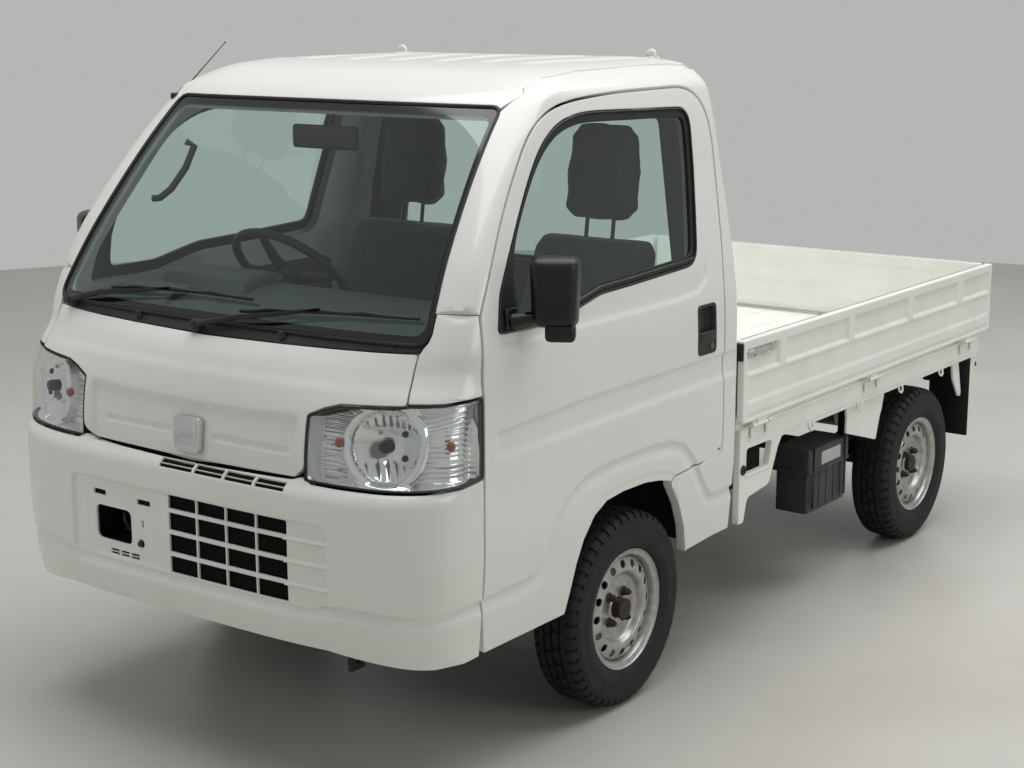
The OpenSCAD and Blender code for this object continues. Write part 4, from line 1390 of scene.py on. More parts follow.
reflector = pressed_sheet(cab_skin, spaced(lamp_loop - outward(lamp_loop) * .0014),
                          relief=reflector_relief, step=.0072, roll=0, lip=0)
lens = pressed_sheet(cab_skin, lens_loop, relief=lambda s, z: 0 * s + 0.0, step=.03, roll=.003,
                     lip=.004)
gasket = bmesh.new()
add_strip(gasket, cab_skin, spaced(lamp_loop - outward(lamp_loop) * .0012),
          [(-.0022, -.014), (-.0026, -.0012), (-.0008, .0010), (.0010, -.0008), (.0014, -.014)])
bulbs, holders = bmesh.new(), bmesh.new()
spots = []
for s, z, deep in ((main_s, .879, .030), (turn_s - .008, .879, .018), (outer_s + .030, .879, .018)):
    at, normal = cab_skin(np.array([s]), np.array([z]))
    spots.append((Vector(at[0]) - Vector(normal[0]) * deep, Vector(normal[0])))
add_turned(holders, [(0, -.020), (.016, -.020), (.0150, .004), (.012, .010), (0, .012)], spots[0][0],
           spots[0][1], 28)
for s, z in ((main_s + .045, .915), (main_s + .050, .852)):
    at, normal = cab_skin(np.array([s]), np.array([z]))
    add_turned(holders, [(0, -.045), (.008, -.045), (.007, -.038), (0, -.037)], Vector(at[0]),
               Vector(normal[0]), 16)
for place_at, normal in spots[1:]:
    sphere(bulbs, place_at, .0105, (1, 1, 1.15))
black_bits = joined(gasket, holders)
on_both_sides(("lamp_reflector", reflector, reflector_with_painted_reflection, "lamp_plastic", "headlamps"),
              ("lamp_lens", lens, clear_lens, "lamp_plastic"),
              ("lamp_gasket", black_bits, black_rubber, "black_rubber"),
              ("lamp_bulbs", bulbs, amber_bulb, "lamp_plastic"))

# ---------------------------------------------------------------------------
# Doors. A pressed skin over an inner panel with a vinyl card, hinged at the front.
# Tempered glass in a black rubber channel, a black sail panel with the mirror, and a
# flush black handle with a lock.
# Silver behind glass
mirror_glass = plain_finish(
    "silvered mirror glass", ("#c9cfd1", "#c2c8ca"), 60, (8, .001, .02, .05), Metallic=1.0)

# Black nylon, smoother and deeper than the trim
mirror_black = plain_finish(
    "satin black moulding", ("#0d0f12", "#121417"), 70, (1.5, .05, .3, .42), Specular_IOR_Level=.4)


def door_relief(s, z):
    """The flare, the long groove between two soft lines, and the fold under the window."""
    at = cab_place(s, z)
    y = at[..., 1]
    top = np.interp(y, [-1.367, -1.007, -.20], [.886, .900, .905])
    low = np.interp(y, [-1.367, -.20], [.826, .842])
    groove = rise(top - z, .010) * rise(z - low, .026) * rise(y + 1.372, .030)
    belt = np.interp(y, [-1.353, -1.168, -.881, -.562, -.434, -.390, -.379],
                     [1.083, 1.088, 1.089, 1.090, 1.099, 1.126, 1.165])
    fold = (rise(z - belt, .014) * (1 - rise(z - belt - .040, .06)) * rise(y + 1.362, .02)
            * (1 - rise(y + .385, .012)))
    line = -.0009 * (1 - rise(abs(y + 1.281) - .001, .004))
    return flare(y, z) - .0062 * groove - .0042 * fold + line


def gap_between(points, width):
    """An outline drawn in by a width all round, without its tight folds."""
    loop = spaced(points)
    if signed_area(loop) < 0:
        loop = loop[::-1]
    inward = loop - outward(loop) * width
    keep = [0]
    for k in range(1, len(inward)):
        if np.hypot(*(inward[k] - inward[keep[-1]])) > .0028:
            keep.append(k)
    return inward[keep]


door_edge = gap_between(rounded(door_opening, .012), .0058)
window_edge = rounded([(-1.357, 1.116), (-1.333, 1.208), (-1.259, 1.315), (-1.155, 1.453),
                       (-1.091, 1.531), (-1.010, 1.583), (-.889, 1.606), (-.639, 1.599), (-.387, 1.593),
                       (-.362, 1.565), (-.379, 1.426), (-.427, 1.196), (-.457, 1.170), (-.768, 1.157),
                       (-.912, 1.153), (-1.023, 1.130), (-1.080, 1.1155), (-1.180, 1.112)],
                      [.012, .05, .05, .05, .05, .05, .05, .05, .03, .03, .05, .04, .03, .05, .06, .06,
                       .06, .05])
glass_edge = rounded([(-1.262, 1.146), (-1.262, 1.288), (-1.144, 1.440), (-1.078, 1.513),
                      (-1.002, 1.560), (-.886, 1.580), (-.639, 1.573), (-.400, 1.568), (-.388, 1.556),
                      (-.404, 1.428), (-.450, 1.205), (-.463, 1.199), (-.768, 1.186), (-.915, 1.182),
                      (-1.030, 1.158), (-1.085, 1.146)],
                     [.008, .02, .05, .05, .05, .05, .05, .02, .02, .05, .02, .01, .05, .06, .06, .04])


def worn(loop, rounds):
    """A closed outline with its corners worn smooth, far more so in its long front curve."""
    loop = spaced(loop)
    for k in range(rounds * 12):
        mean = (np.roll(loop, 1, 0) + 2 * loop + np.roll(loop, -1, 0)) / 4
        curve = (loop[:, 1] > 1.24) & (loop[:, 0] < -.50)
        loop = np.where((curve | (k < rounds))[:, None], mean, loop)
    return loop


window_edge, glass_edge = worn(window_edge, 16), worn(glass_edge, 16)


def placed_on_side(loop):
    """The outline as (length, height), corners at the front taken on the curved part."""
    return np.array([(cab_length("side", y, z), z) for y, z in loop])


door_loop, hole_loop, pane_loop = (
    placed_on_side(loop) for loop in (door_edge, window_edge, glass_edge))
handle_edge = placed_on_side(rounded([(-.452, .919), (-.352, .919), (-.352, 1.060), (-.452, 1.060)],
                                     .017))
skin = pressed_sheet(cab_skin, door_loop, [hole_loop, handle_edge - outward(handle_edge) * .004],
                     door_relief, step=.0145, lip=.036, hole_lip=.012)
back = plain_skin(cab_skin, door_loop, [hole_loop], depth=.040)
# Vinyl card on the inside, standing a little proud of the inner panel
card_edge = rounded([(-1.375, .480), (-1.115, .480), (-1.080, .570), (-.990, .655), (-.345, .655),
                     (-.345, 1.060), (-.390, 1.085), (-1.375, 1.075)],
                     [.02, .03, .05, .03, .03, .03, .02, .02])
card = plain_skin(cab_skin, placed_on_side(card_edge), depth=.0425)
for face in card.faces:
    face.material_index = 1
skin = joined(skin, back, card)
# Black frame, sail panel and the two lips of the belt moulding
frame_band = pressed_sheet(cab_skin, placed_on_side(gap_between(window_edge, .0014)),
                           [pane_loop], lambda s, z: 0 * s - .0035, step=.02, roll=.0012, lip=.010,
                           hole_lip=.010)
add_strip(frame_band, cab_skin, placed_on_side(gap_between(window_edge, .004)),
          [(-.004, -.004), (-.004, .001), (-.001, .0026), (.0022, .0012), (.0030, -.004)])
belt_line = [(-1.250, 1.1335), (-1.085, 1.1350), (-1.030, 1.1475), (-.915, 1.1700), (-.768, 1.1745),
             (-.463, 1.1875), (-.450, 1.190)]
belt_places = placed_on_side(rounded(belt_line, .05, closed=False))
add_strip(frame_band, cab_skin, belt_places[::-1],
          [(-.006, -.003), (-.006, .0035), (.002, .0045), (.006, -.001), (.006, -.003)], closed=False)
round_way = 1 if signed_area(pane_loop) > 0 else -1
pane_edge = spaced(pane_loop + outward(pane_loop[::round_way])[::round_way] * .003)
pane = pressed_sheet(cab_skin, pane_edge, relief=lambda s, z: 0 * s - .009, step=.04, roll=0, lip=.004)

# Handle: rim, finger pocket, paddle and lock
def handle_relief(s, z):
    y = cab_place(s, z)[..., 1]
    pocket = field(y, z, (-.444, .962), (-.360, 1.052), .010, .012)
    lower = field(y, z, (-.444, .926), (-.360, .956), .004, .008)
    return .0022 - .020 * pocket - .0016 * lower


handle = pressed_sheet(cab_skin, handle_edge, relief=handle_relief, step=.008, roll=.0018, lip=.008)
at, normal = cab_skin(np.array([cab_length("side", -.402, .973)]), np.array([.973]))
at, normal = Vector(at[0]), Vector(normal[0])
add_block(handle, at + Vector((-.014, -.041, -.016)), at + Vector((.0045, .041, .010)), .005, 3)
lock_at = at + Vector((.0008, .024, -.034))
lock = bmesh.new()
add_turned(lock, [(.0092, -.002), (.0092, .0022), (.0080, .0032), (0, .0032)], lock_at, normal, 28)
add_block(lock, lock_at + Vector((.0020, -.0012, -.005)), lock_at + Vector((.0040, .0012, .005)), .0004,
          1)

# Mirror: a moulded pod, swept back, on a short arm from the sail panel
pod, pane_face = bmesh.new(), bmesh.new()
shell = bmesh.ops.create_cube(pod, size=1, matrix=Matrix.Diagonal((.130, .066, .178, 1)))
for vert in shell["verts"]:
    if vert.co.y < 0:
        vert.co.x, vert.co.z = vert.co.x * .82, vert.co.z * .88
    if vert.co.z < 0:
        vert.co.x *= .90
bmesh.ops.bevel(pod, geom=list({e for v in shell["verts"] for e in v.link_edges}), offset=.022,
                segments=5, affect="EDGES", profile=.5, material=-1)
add_block(pod, (-.022, -.026, -.116), (.050, .024, -.072), .012, 3)
add_block(pane_face, (-.053, .0315, -.073), (.053, .0345, .074), .0014, 2)
sweep = Matrix.Translation((.8060, -1.2400, 1.2090)) @ Matrix.Rotation(math.radians(30), 4, "Z")
for part in (pod, pane_face):
    bmesh.ops.transform(part, matrix=sweep, verts=part.verts)
add_rod(pod, [(.768, -1.262, 1.150), (.748, -1.276, 1.146), (.736, -1.286, 1.142),
              (.722, -1.292, 1.140)], [.016, .015, .017, .021], 18)
add_block(pod, (.7140, -1.322, 1.118), (.7265, -1.268, 1.172), .005, 2)

for hand in ("right", "left"):
    body = f"{hand}_door_body"
    parts = (skin, frame_band, pane, handle, lock, pod, pane_face)
    if hand == "right":
        parts = [mirrored(part) for part in parts]
    finished(f"{hand}_door_skin", parts[0], [white_enamel, grey_lining], body,
             [f"{hand}_door"])
    finished(f"{hand}_window_channel", parts[1], [black_rubber], body)
    finished(f"{hand}_window_pane", parts[2], [clear_glass], body,
             [f"{hand}_door_glass"])
    finished(f"{hand}_door_handle", parts[3], [moulded_black], body)
    finished(f"{hand}_door_lock", parts[4], [dull_steel], body)
    finished(f"{hand}_mirror_pod", parts[5], [mirror_black], body, [f"{hand}_mirror"])
    finished(f"{hand}_mirror_pane", parts[6], [mirror_glass], body)

# ---------------------------------------------------------------------------
# Inside of the cab. A grained grey dash moulding with a meter hood and a tray, a
# thin-rimmed wheel, rubber floor mat, and two seats of foam under woven cloth.
# Textured vinyl-look plastic: slate grey, no gloss
dash_plastic = plain_finish(
    "grained dash moulding", ("#43484a", "#3a3f41"), 220, (1.8, .2, .5, .7), Specular_IOR_Level=.35)

seat_cloth, tree, shader, place = new_finish("woven seat cloth", Specular_IOR_Level=.2,
                                             Sheen_Weight=.25)
# Grey moquette: a fine crossed weave
toned(tree, shader, place, "#4d5459", "#42484d", 25)
weave = add_node(tree, "ShaderNodeTexWave", {"Vector": place, "Scale": 260.0, "Distortion": .6},
                 bands_direction="X")
across = add_node(tree, "ShaderNodeTexWave", {"Vector": place, "Scale": 260.0, "Distortion": .6},
                  bands_direction="Z")
both = add_node(tree, "ShaderNodeMath", {0: weave.outputs["Fac"], 1: across.outputs["Fac"]},
                operation="MULTIPLY")
bump = add_node(tree, "ShaderNodeBump",
                {"Height": both.outputs[0], "Distance": .0006, "Strength": .8})
tree.links.new(bump.outputs["Normal"], shader.inputs["Normal"])
shader.inputs["Roughness"].default_value = .85

mat_rubber, tree, shader, place = new_finish("ribbed floor mat", Specular_IOR_Level=.3)
# Moulded mat: charcoal with lengthwise ribs
toned(tree, shader, place, "#26282a", "#313335", 120)
ribs = add_node(tree, "ShaderNodeTexWave", {"Vector": place, "Scale": 28.0}, bands_direction="X")
bump = add_node(tree, "ShaderNodeBump",
                {"Height": ribs.outputs["Fac"], "Distance": .002, "Strength": .7})
tree.links.new(bump.outputs["Normal"], shader.inputs["Normal"])
shader.inputs["Roughness"].default_value = .75

dressed(mat_rubber, "inner_paint", "cab_floor")


def add_prism(bm, loop, axis, low, high, bevel=.004, segments=2):
    """A flat outline run along an axis, with its edges rounded."""
    other = {"x": (1, 2), "y": (0, 2), "z": (0, 1)}[axis]
    spot = "xyz".index(axis)
    verts = []
    for a, b in loop:
        place_at = [0, 0, 0]
        place_at[spot], place_at[other[0]], place_at[other[1]] = low, a, b
        verts.append(bm.verts.new(place_at))
    face = bm.faces.new(verts)
    pushed = bmesh.ops.extrude_face_region(bm, geom=[face])["geom"]
    moved = [g for g in pushed if isinstance(g, bmesh.types.BMVert)]
    travel = [0, 0, 0]
    travel[spot] = high - low
    bmesh.ops.translate(bm, verts=moved, vec=travel)
    made = list({f for v in verts + moved for f in v.link_faces})
    bmesh.ops.recalc_face_normals(bm, faces=made)
    if bevel:
        rims = [e for f in (face,
                            *[g for g in pushed if isinstance(g, bmesh.types.BMFace)]) for e in f.edges]
        bmesh.ops.bevel(bm, geom=list(set(rims)), offset=bevel, segments=segments, affect="EDGES",
                        profile=.5, material=-1)


dash = bmesh.new()
dash_side = rounded([(-1.480, 1.046), (-1.40, 1.082), (-1.30, 1.104), (-1.18, 1.128), (-1.118, 1.130),
                     (-1.104, 1.100), (-1.112, 1.020), (-1.150, .950), (-1.165, .880), (-1.22, .812),
                     (-1.34, .806), (-1.47, .90)],
                    [.02, .06, .08, .05, .02, .03, .05, .04, .05, .04, .05, .03], step=.02)
add_prism(dash, dash_side, "x", -.608, .608, .012, 3)
hood = rounded([(-1.285, 1.100), (-1.245, 1.152), (-1.150, 1.162), (-1.098, 1.148), (-1.092, 1.130),
                (-1.115, 1.095), (-1.13, 1.02), (-1.27, 1.04)],
               [.02, .03, .03, .012, .008, .01, .02, .02], step=.015)
add_prism(dash, hood, "x", -.505, -.185, .02, 4)
tray = rounded([(-1.40, 1.078), (-1.35, 1.118), (-1.27, 1.126), (-1.26, 1.09), (-1.38, 1.05)], .01,
               step=.02)
add_prism(dash, tray, "x", -.585, -.360, .008, 3)
add_block(dash, (.185, -1.128, .905), (.545, -1.106, 1.010), .012, 3)
add_block(dash, (.300, -1.112, .985), (.430, -1.100, 1.000), .005, 2)
for x in (-.57, -.10, .02, .57):
    add_block(dash, (x - .055, -1.120, 1.035), (x + .055, -1.098, 1.088), .008, 3)
    for z in (1.046, 1.058, 1.070, 1.080):
        add_block(dash, (x - .046, -1.100, z - .0018), (x + .046, -1.094, z + .0018), .001, 1)
add_rod(dash, [(-.340, -1.12, .905), (-.340, -.935, 1.092)], [.040, .034], 24)
finished("dash_moulding", dash, [dash_plastic], "truck", ["dashboard"])

fittings = bmesh.new()
add_block(fittings, (-.125, -1.116, .925), (.055, -1.099, 1.010), .004, 2)
add_block(fittings, (-.480, -1.118, 1.040), (-.205, -1.098, 1.118), .010, 3)
for x in (-.095, -.035, .025):
    add_turned(fittings, [(.013, 0), (.013, .014), (.011, .018), (0, .018)], (x, -1.106, .900),
               (0, 1, 0), 24)
for y, z, end_x in ((-.975, 1.048, -.520), (-.975, 1.048, -.165)):
    add_rod(fittings, [(-.340, y, z), (-.340 + (end_x + .340) * .7, y - .010, z + .012),
                       (end_x, y - .014, z + .018)],
            [.009, .007, .010], 12)
for x, width in ((-.475, .045), (-.345, .060), (-.235, .040)):
    add_block(fittings, (x - width, -1.330, .530), (x + width, -1.318, .585), .006, 2)
    add_rod(fittings, [(x, -1.325, .560), (x, -1.400, .700), (x, -1.430, .820)], .008, 8)
gear = [(-.050, -1.075, .380), (-.050, -1.060, .640), (-.050, -1.030, .760)]
add_rod(fittings, gear, .007, 10)
bmesh.ops.create_uvsphere(fittings, u_segments=20, v_segments=12, radius=.022,
                          matrix=Matrix.Translation(gear[-1]))
mirror_at = Vector((-.010, -1.118, 1.528))
add_block(fittings, mirror_at + Vector((-.112, -.010, -.031)), mirror_at + Vector((.112, .010, .031)),
          .012, 4)
add_rod(fittings, [mirror_at + Vector((0, -.006, .010)), (-.010, -1.104, 1.588),
                   (-.010, -1.075, 1.622)], [.008, .006, .011], 12)
loop_points = [(-.470, -1.178, 1.500), (-.452, -1.164, 1.488), (-.455, -1.197, 1.430),
               (-.470, -1.240, 1.375), (-.490, -1.263, 1.352), (-.508, -1.274, 1.350)]
add_rod(fittings, loop_points, .0095, 12)
for side in (-1, 1):
    add_block(fittings, (side * .255 - .195, -1.045, 1.618), (side * .255 + .195, -.930, 1.630), .005,
              2)
finished("cab_fittings", fittings, [moulded_black], "truck", ["cab_trim"])

# Steering wheel
wheel = bmesh.new()
steer = Vector((-.340, -.910, 1.118))
tilt = Matrix.Translation(steer) @ Matrix.Rotation(math.radians(-45), 4, "X")
rim = [(.178 + .0125 * math.cos(a), .0125 * math.sin(a)) for a in np.arange(12) * math.tau / 12]
add_turned(wheel, rim, steer, tilt.to_3x3() @ Vector((0, 0, 1)), 72, closed=True)
add_turned(wheel, [(0, .004), (.040, .002), (.052, -.006), (.056, -.018), (.050, -.034), (.040, -.040),
                   (0, -.040)],
           steer, tilt.to_3x3() @ Vector((0, 0, 1)), 36)
for turn in (0, math.pi, math.pi * 1.5):
    out = Vector((math.cos(turn), math.sin(turn), 0))
    arm = [tilt @ (out * r + Vector((0, 0, z))) for r,
           z in ((.040, -.016), (.085, -.014), (.135, -.006), (.172, 0))]
    add_rod(wheel, arm, [.018, .015, .012, .010], 12)
finished("steering_wheel_moulding", wheel, [moulded_black], "steering_wheel_body",
         ["steering_wheel"])


# Seats: foam blocks blown up as cloth, each head restraint on two posts
def foam_block(sections):
    """A closed block from stacked rounded rectangles: (centre, half width, half depth)."""
    bm = bmesh.new()
    rings = []
    for centre, half_x, half_y in sections:
        ring = []
        for a in np.arange(32) * math.tau / 32:
            cx = math.copysign(abs(math.cos(a)) ** .45, math.cos(a)) * half_x
            cy = math.copysign(abs(math.sin(a)) ** .45, math.sin(a)) * half_y
            ring.append(bm.verts.new(Vector(centre) + Vector((cx, cy, 0))))
        rings.append(ring)
    for low, high in zip(rings, rings[1:]):
        for i in range(32):
            j = (i + 1) % 32
            bm.faces.new((low[i], low[j], high[j], high[i]))
    bm.faces.new(rings[0][::-1])
    bm.faces.new(rings[-1])
    bmesh.ops.recalc_face_normals(bm, faces=bm.faces)
    return bm


def puffed(name, bm, body, travel, voxel=.0073):
    """A padded piece: the block is remeshed and inflated as cloth, its movement capped."""
    piece = finished(name, bm, [seat_cloth], body, sharp=180)
    remesh = piece.modifiers.new("remesh", "REMESH")
    remesh.mode, remesh.voxel_size, remesh.use_smooth_shade = "VOXEL", voxel, True
    apply_modifiers(piece)
    last_frame = 20
    start = vertex_places(piece)
    cloth = piece.modifiers.new("cloth", "CLOTH")
    cloth.settings.use_pressure, cloth.settings.uniform_pressure_force = True, 4.0
    cloth.settings.effector_weights.gravity = 0
    cloth.settings.quality = 4
    cloth.collision_settings.use_collision = False
    cloth.point_cache.frame_start, cloth.point_cache.frame_end = 1, last_frame
    for frame_number in range(1, last_frame + 1):
        scene.frame_set(frame_number)
    apply_modifiers(piece)
    scene.frame_set(1)
    moved = vertex_places(piece) - start
    far = np.linalg.norm(moved, axis=1)
    moved *= np.minimum(1, travel / np.maximum(far, 1e-9))[:, None]
    piece.data.vertices.foreach_set("co", (start + moved).ravel())
    soft = bmesh.new()
    soft.from_mesh(piece.data)
    smoothing_rounds = 3
    for _ in range(smoothing_rounds):
        bmesh.ops.smooth_vert(soft, verts=soft.verts, factor=.5, use_axis_x=True, use_axis_y=True,
                              use_axis_z=True)
    for face in soft.faces:
        face.smooth = True
    soft.to_mesh(piece.data)
    soft.free()
    return piece


def vertex_places(piece):
    places = np.empty(len(piece.data.vertices) * 3)
    piece.data.vertices.foreach_get("co", places)
    return places.reshape(-1, 3)


def apply_modifiers(piece):
    graph = bpy.context.evaluated_depsgraph_get()
    new_mesh = bpy.data.meshes.new_from_object(piece.evaluated_get(graph), depsgraph=graph)
    old = piece.data
    piece.modifiers.clear()
    piece.data = new_mesh
    bpy.data.meshes.remove(old)


for hand, x in (("right", -.350), ("left", .350)):
    cushion = foam_block([((x, -.720, .668), .215, .225), ((x, -.722, .700), .228, .242),
                          ((x, -.722, .745), .228, .242), ((x, -.718, .772), .212, .225)])
    rest = foam_block([((x, -.500, .735), .205, .045), ((x, -.498, .780), .220, .060),
                       ((x, -.440, 1.000), .218, .058), ((x, -.378, 1.185), .200, .048),
                       ((x, -.368, 1.218), .180, .036)])
    head = foam_block([((x, -.352, 1.262), .085, .028), ((x, -.348, 1.290), .114, .040),
                       ((x, -.338, 1.400), .118, .042), ((x, -.330, 1.500), .104, .038),
                       ((x, -.328, 1.532), .080, .026)])
    replaced = puffed(f"{hand}_seat_cushion", cushion, "truck", .012)
    puffed(f"{hand}_seat_back", rest, "truck", .010)
    puffed(f"{hand}_head_restraint", head, "truck", .008, .0063)
    if hand == "right":
        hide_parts("seats")
    legs = bmesh.new()
    for side in (-.045, .045):
        add_rod(legs, [(x + side, -.362, 1.195), (x + side, -.350, 1.280)], .006, 12)
    add_block(legs, (x - .185, -.905, .6205), (x + .185, -.510, .672), .008, 2)
    add_rod(legs, [(x + .235, -.520, .700), (x + .235, -.520, .735), (x + .240, -.500, .760)],
            [.018, .018, .014], 14)
    finished(f"{hand}_seat_base", legs, [moulded_black], "truck")

# ---------------------------------------------------------------------------
# Load bed. Pressed steel in white enamel: a ribbed floor, headboard, three drop
# gates with a rolled top rail and a pressed band, strap hinges and over-centre
# latches, and the sill below with its rope hooks.
# The same white, rubbed dull and a little warmer by loads
bed_enamel = plain_finish(
    "white bed enamel", ("#f2f2ed", "#eaeae3"), 160, (10, .01, .3, .46), Coat_Weight=.3,
    Coat_Roughness=.12, Specular_IOR_Level=.4)

# Passivated zinc, pale grey and softly streaked; made paler still and half diffuse so it stays bright
# where the plating would mirror dark surroundings: painted reflection
zinc_with_painted_reflection = plain_finish(
    "zinc plated steel with painted reflection", ("#d6d7d5", "#b8b7b1"), 14, (2.5, .03, .25, .45), Metallic=.55)


def flat_form(origin, along, up):
    """A flat form: u runs along and v up from the origin."""
    origin, along, up = (np.array(part, float) for part in (origin, along, up))
    facing = np.cross(along, up)

    def form(u, v):
        u, v = np.asarray(u, float), np.asarray(v, float)
        return (origin + u[..., None] * along + v[..., None] * up,
                np.broadcast_to(facing, (*u.shape, 3)))

    return form


def box_loop(low, high, radius=.004, step=.012):
    return rounded([(low[0], low[1]), (high[0], low[1]), (high[0], high[1]), (low[0], high[1])], radius,
                   step)


def stripe(value, low, high, slope):
    """1 between two values, with soft slopes inside them."""
    return rise(value - low - slope / 2, slope) * (1 - rise(value - high + slope / 2, slope))


floor_z = .668


def floor_relief(x, y):
    ribs = sum(stripe(abs(x), c - .024, c + .024, .012) for c in (0.0, .140, .280, .420, .560))
    ribs = np.where(abs(x) < .024, stripe(x, -.024, .024, .012), ribs)
    return (-.0035 * (1 - np.clip(ribs, 0, 1))
            * stripe(y, -.105, 1.62, .03) * stripe(x, -.665, .665, .02))


bm = pressed_sheet(flat_form((0, 0, floor_z), (1, 0, 0), (0, 1, 0)),
                   box_loop((-.700, -.133), (.700, 1.6525)), relief=floor_relief, step=.024, roll=.002,
                   lip=.026)
under = pressed_sheet(flat_form((0, 0, .6405), (-1, 0, 0), (0, 1, 0)),
                      box_loop((-.698, -.160), (.698, 1.650)), relief=lambda x, y: 0 * x, step=.1,
                      roll=0, lip=0)
bm = joined(bm, under)
for y in (.10, .56, 1.02, 1.32):
    add_block(bm, (-.690, y - .02, .612), (.690, y + .02, .641), .004, 1)


def board_relief(u, z):
    return .0045 * (stripe(z, .715, .745, .012) + stripe(z, .800, .830, .012)) * stripe(u, -.66, .66,
        .02) \
        - .004 * stripe(z, .850, .885, .010) * stripe(u, -.66, .66, .02)


for origin, along, inset in (((0, -.1365, 0), (-1, 0, 0), 0), ((0, -.1635, 0), (1, 0, 0), 1)):
    sheet = pressed_sheet(flat_form(origin, along, (0, 0, 1)),
                          box_loop((-.7025, .645 - .03 * inset), (.7025, .9195), .006),
                          relief=board_relief, step=.022, roll=.004, lip=.010)
    bm = joined(bm, sheet)
add_block(bm, (-.703, -.170, .897), (.703, -.130, .9220), .011, 4)
finished("bed_floor_pressing", bm, [bed_enamel], "truck", ["bed_floor"])
seam = bmesh.new()
add_rod(seam, [(-.698, -.1325, .6665), (.698, -.1325, .6665)], .0035, 8)
for x in (-.6985, .6985):
    add_rod(seam, [(x, -.13, .6665), (x, 1.65, .6665)], .003, 8)
finished("bed_seam_sealer", seam, [black_rubber], "truck")

# Gates: their low edge, their hinge pins' height, how far a hinge's posts stand from
# its middle, and how far the side gates' pins stand from the truck's middle
gate_low_z, hinge_pin_z, post_offset, side_pin_x = .6760, .6580, .0465, .7305

gate_ribs = ((.025, .082), (.490, .548), (.944, 1.001), (1.367, 1.441))


def gate_relief(y, z, ends, ribs):
    inside_ends = stripe(y, ends[0], ends[1], .010)
    crossing = sum(stripe(y, low, high, .010) for low, high in ribs)
    band = stripe(z, .818, .896, .009) * (1 - np.clip(crossing, 0, 1))
    panel = stripe(z, .733, .812, .008)
    low_channel = stripe(z, .682, .701, .008)
    return inside_ends * (-.0105 * band - .0045 * panel - .004 * low_channel)


def gate_back_relief(y, z, ends):
    return -.0025 * (stripe(z, .700, .790, .010) + stripe(z, .815, .885, .010)) * stripe(y, ends[0],
        ends[1], .015)


gate_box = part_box("left_side_gate")
y_low, y_high, top_z = gate_box[0].y, gate_box[1].y, gate_box[1].z
outer_x, inner_x = half_width, gate_box[0].x
gate = pressed_sheet(flat_form((outer_x, 0, 0), (0, 1, 0), (0, 0, 1)),
                     box_loop((y_low, gate_low_z), (y_high, top_z), .008),
                     relief=lambda y, z: gate_relief(y, z, (y_low + .022, y_high - .022), gate_ribs),
                     step=.015, roll=.004, lip=.022)
back_sheet = pressed_sheet(flat_form((inner_x, 0, 0), (0, -1, 0), (0, 0, 1)),
                           box_loop((-y_high, gate_low_z), (-y_low, top_z), .008),
                           relief=lambda y, z: gate_back_relief(-y, z, (y_low + .03, y_high - .03)),
                           step=.02, roll=.003, lip=.004)
gate = joined(gate, back_sheet)
hinges, posts = bmesh.new(), bmesh.new()
for y in (-.060, .710, 1.510):
    add_block(gate, (.7125, y - .050, .6600), (.7295, y + .050, .6765), .003, 2)
    add_rod(hinges, [(side_pin_x, y - .034, hinge_pin_z), (side_pin_x, y + .034, hinge_pin_z)], .0066,
            16)
    add_block(hinges, (.7292, y - .030, .6600), (.7345, y + .030, .6990), .002, 2)
    for side in (-1, 1):
        add_rod(posts, [(side_pin_x, y + side * .037, hinge_pin_z),
                        (side_pin_x, y + side * .056, hinge_pin_z)], .0070, 16)
        add_block(posts, (.7215, y + side * post_offset - .0095, .6200),
                  (.7290, y + side * post_offset + .0095, .6575), .002, 1)
# Latch: a bracket with a roller and a long lever, along the top of the band
latch = bmesh.new()
add_block(latch, (.7290, -.176, .866), (.7372, -.128, .899), .003, 2)
add_rod(latch, [(.7350, -.170, .883), (.7350, -.132, .883)], .0060, 14)
add_block(latch, (.7285, -.130, .872), (.7345, -.010, .890), .0025, 2)
add_block(latch, (.7285, -.020, .868), (.7366, .016, .893), .003, 2)
add_rod(latch, [(.7340, -.120, .869), (.7352, -.060, .866), (.7352, -.020, .869)], .0035, 10)
for k in range(3):
    add_rod(latch, [(.7360, -.170 + .014 * k, .866), (.7360, -.170 + .014 * k, .899)], .0022, 8)
buffer = bmesh.new()
add_block(buffer, (.7120, y_low - .0085, .862), (.7360, y_low + .001, .9150), .004, 2)
for hand in ("right", "left"):
    body = f"{hand}_side_gate_body"
    parts = (gate, hinges, latch, buffer, posts)
    if hand == "right":
        parts = [mirrored(part) for part in parts]
    finished(f"{hand}_gate_pressing", parts[0], [bed_enamel], body,
             [f"{hand}_side_gate"])
    finished(f"{hand}_gate_hinges", parts[1], [bed_enamel], body)
    finished(f"{hand}_gate_latch", parts[2], [zinc_with_painted_reflection], body)
    finished(f"{hand}_gate_buffer", parts[3], [black_rubber], body)
    finished(f"{hand}_hinge_posts", parts[4], [bed_enamel], "truck")

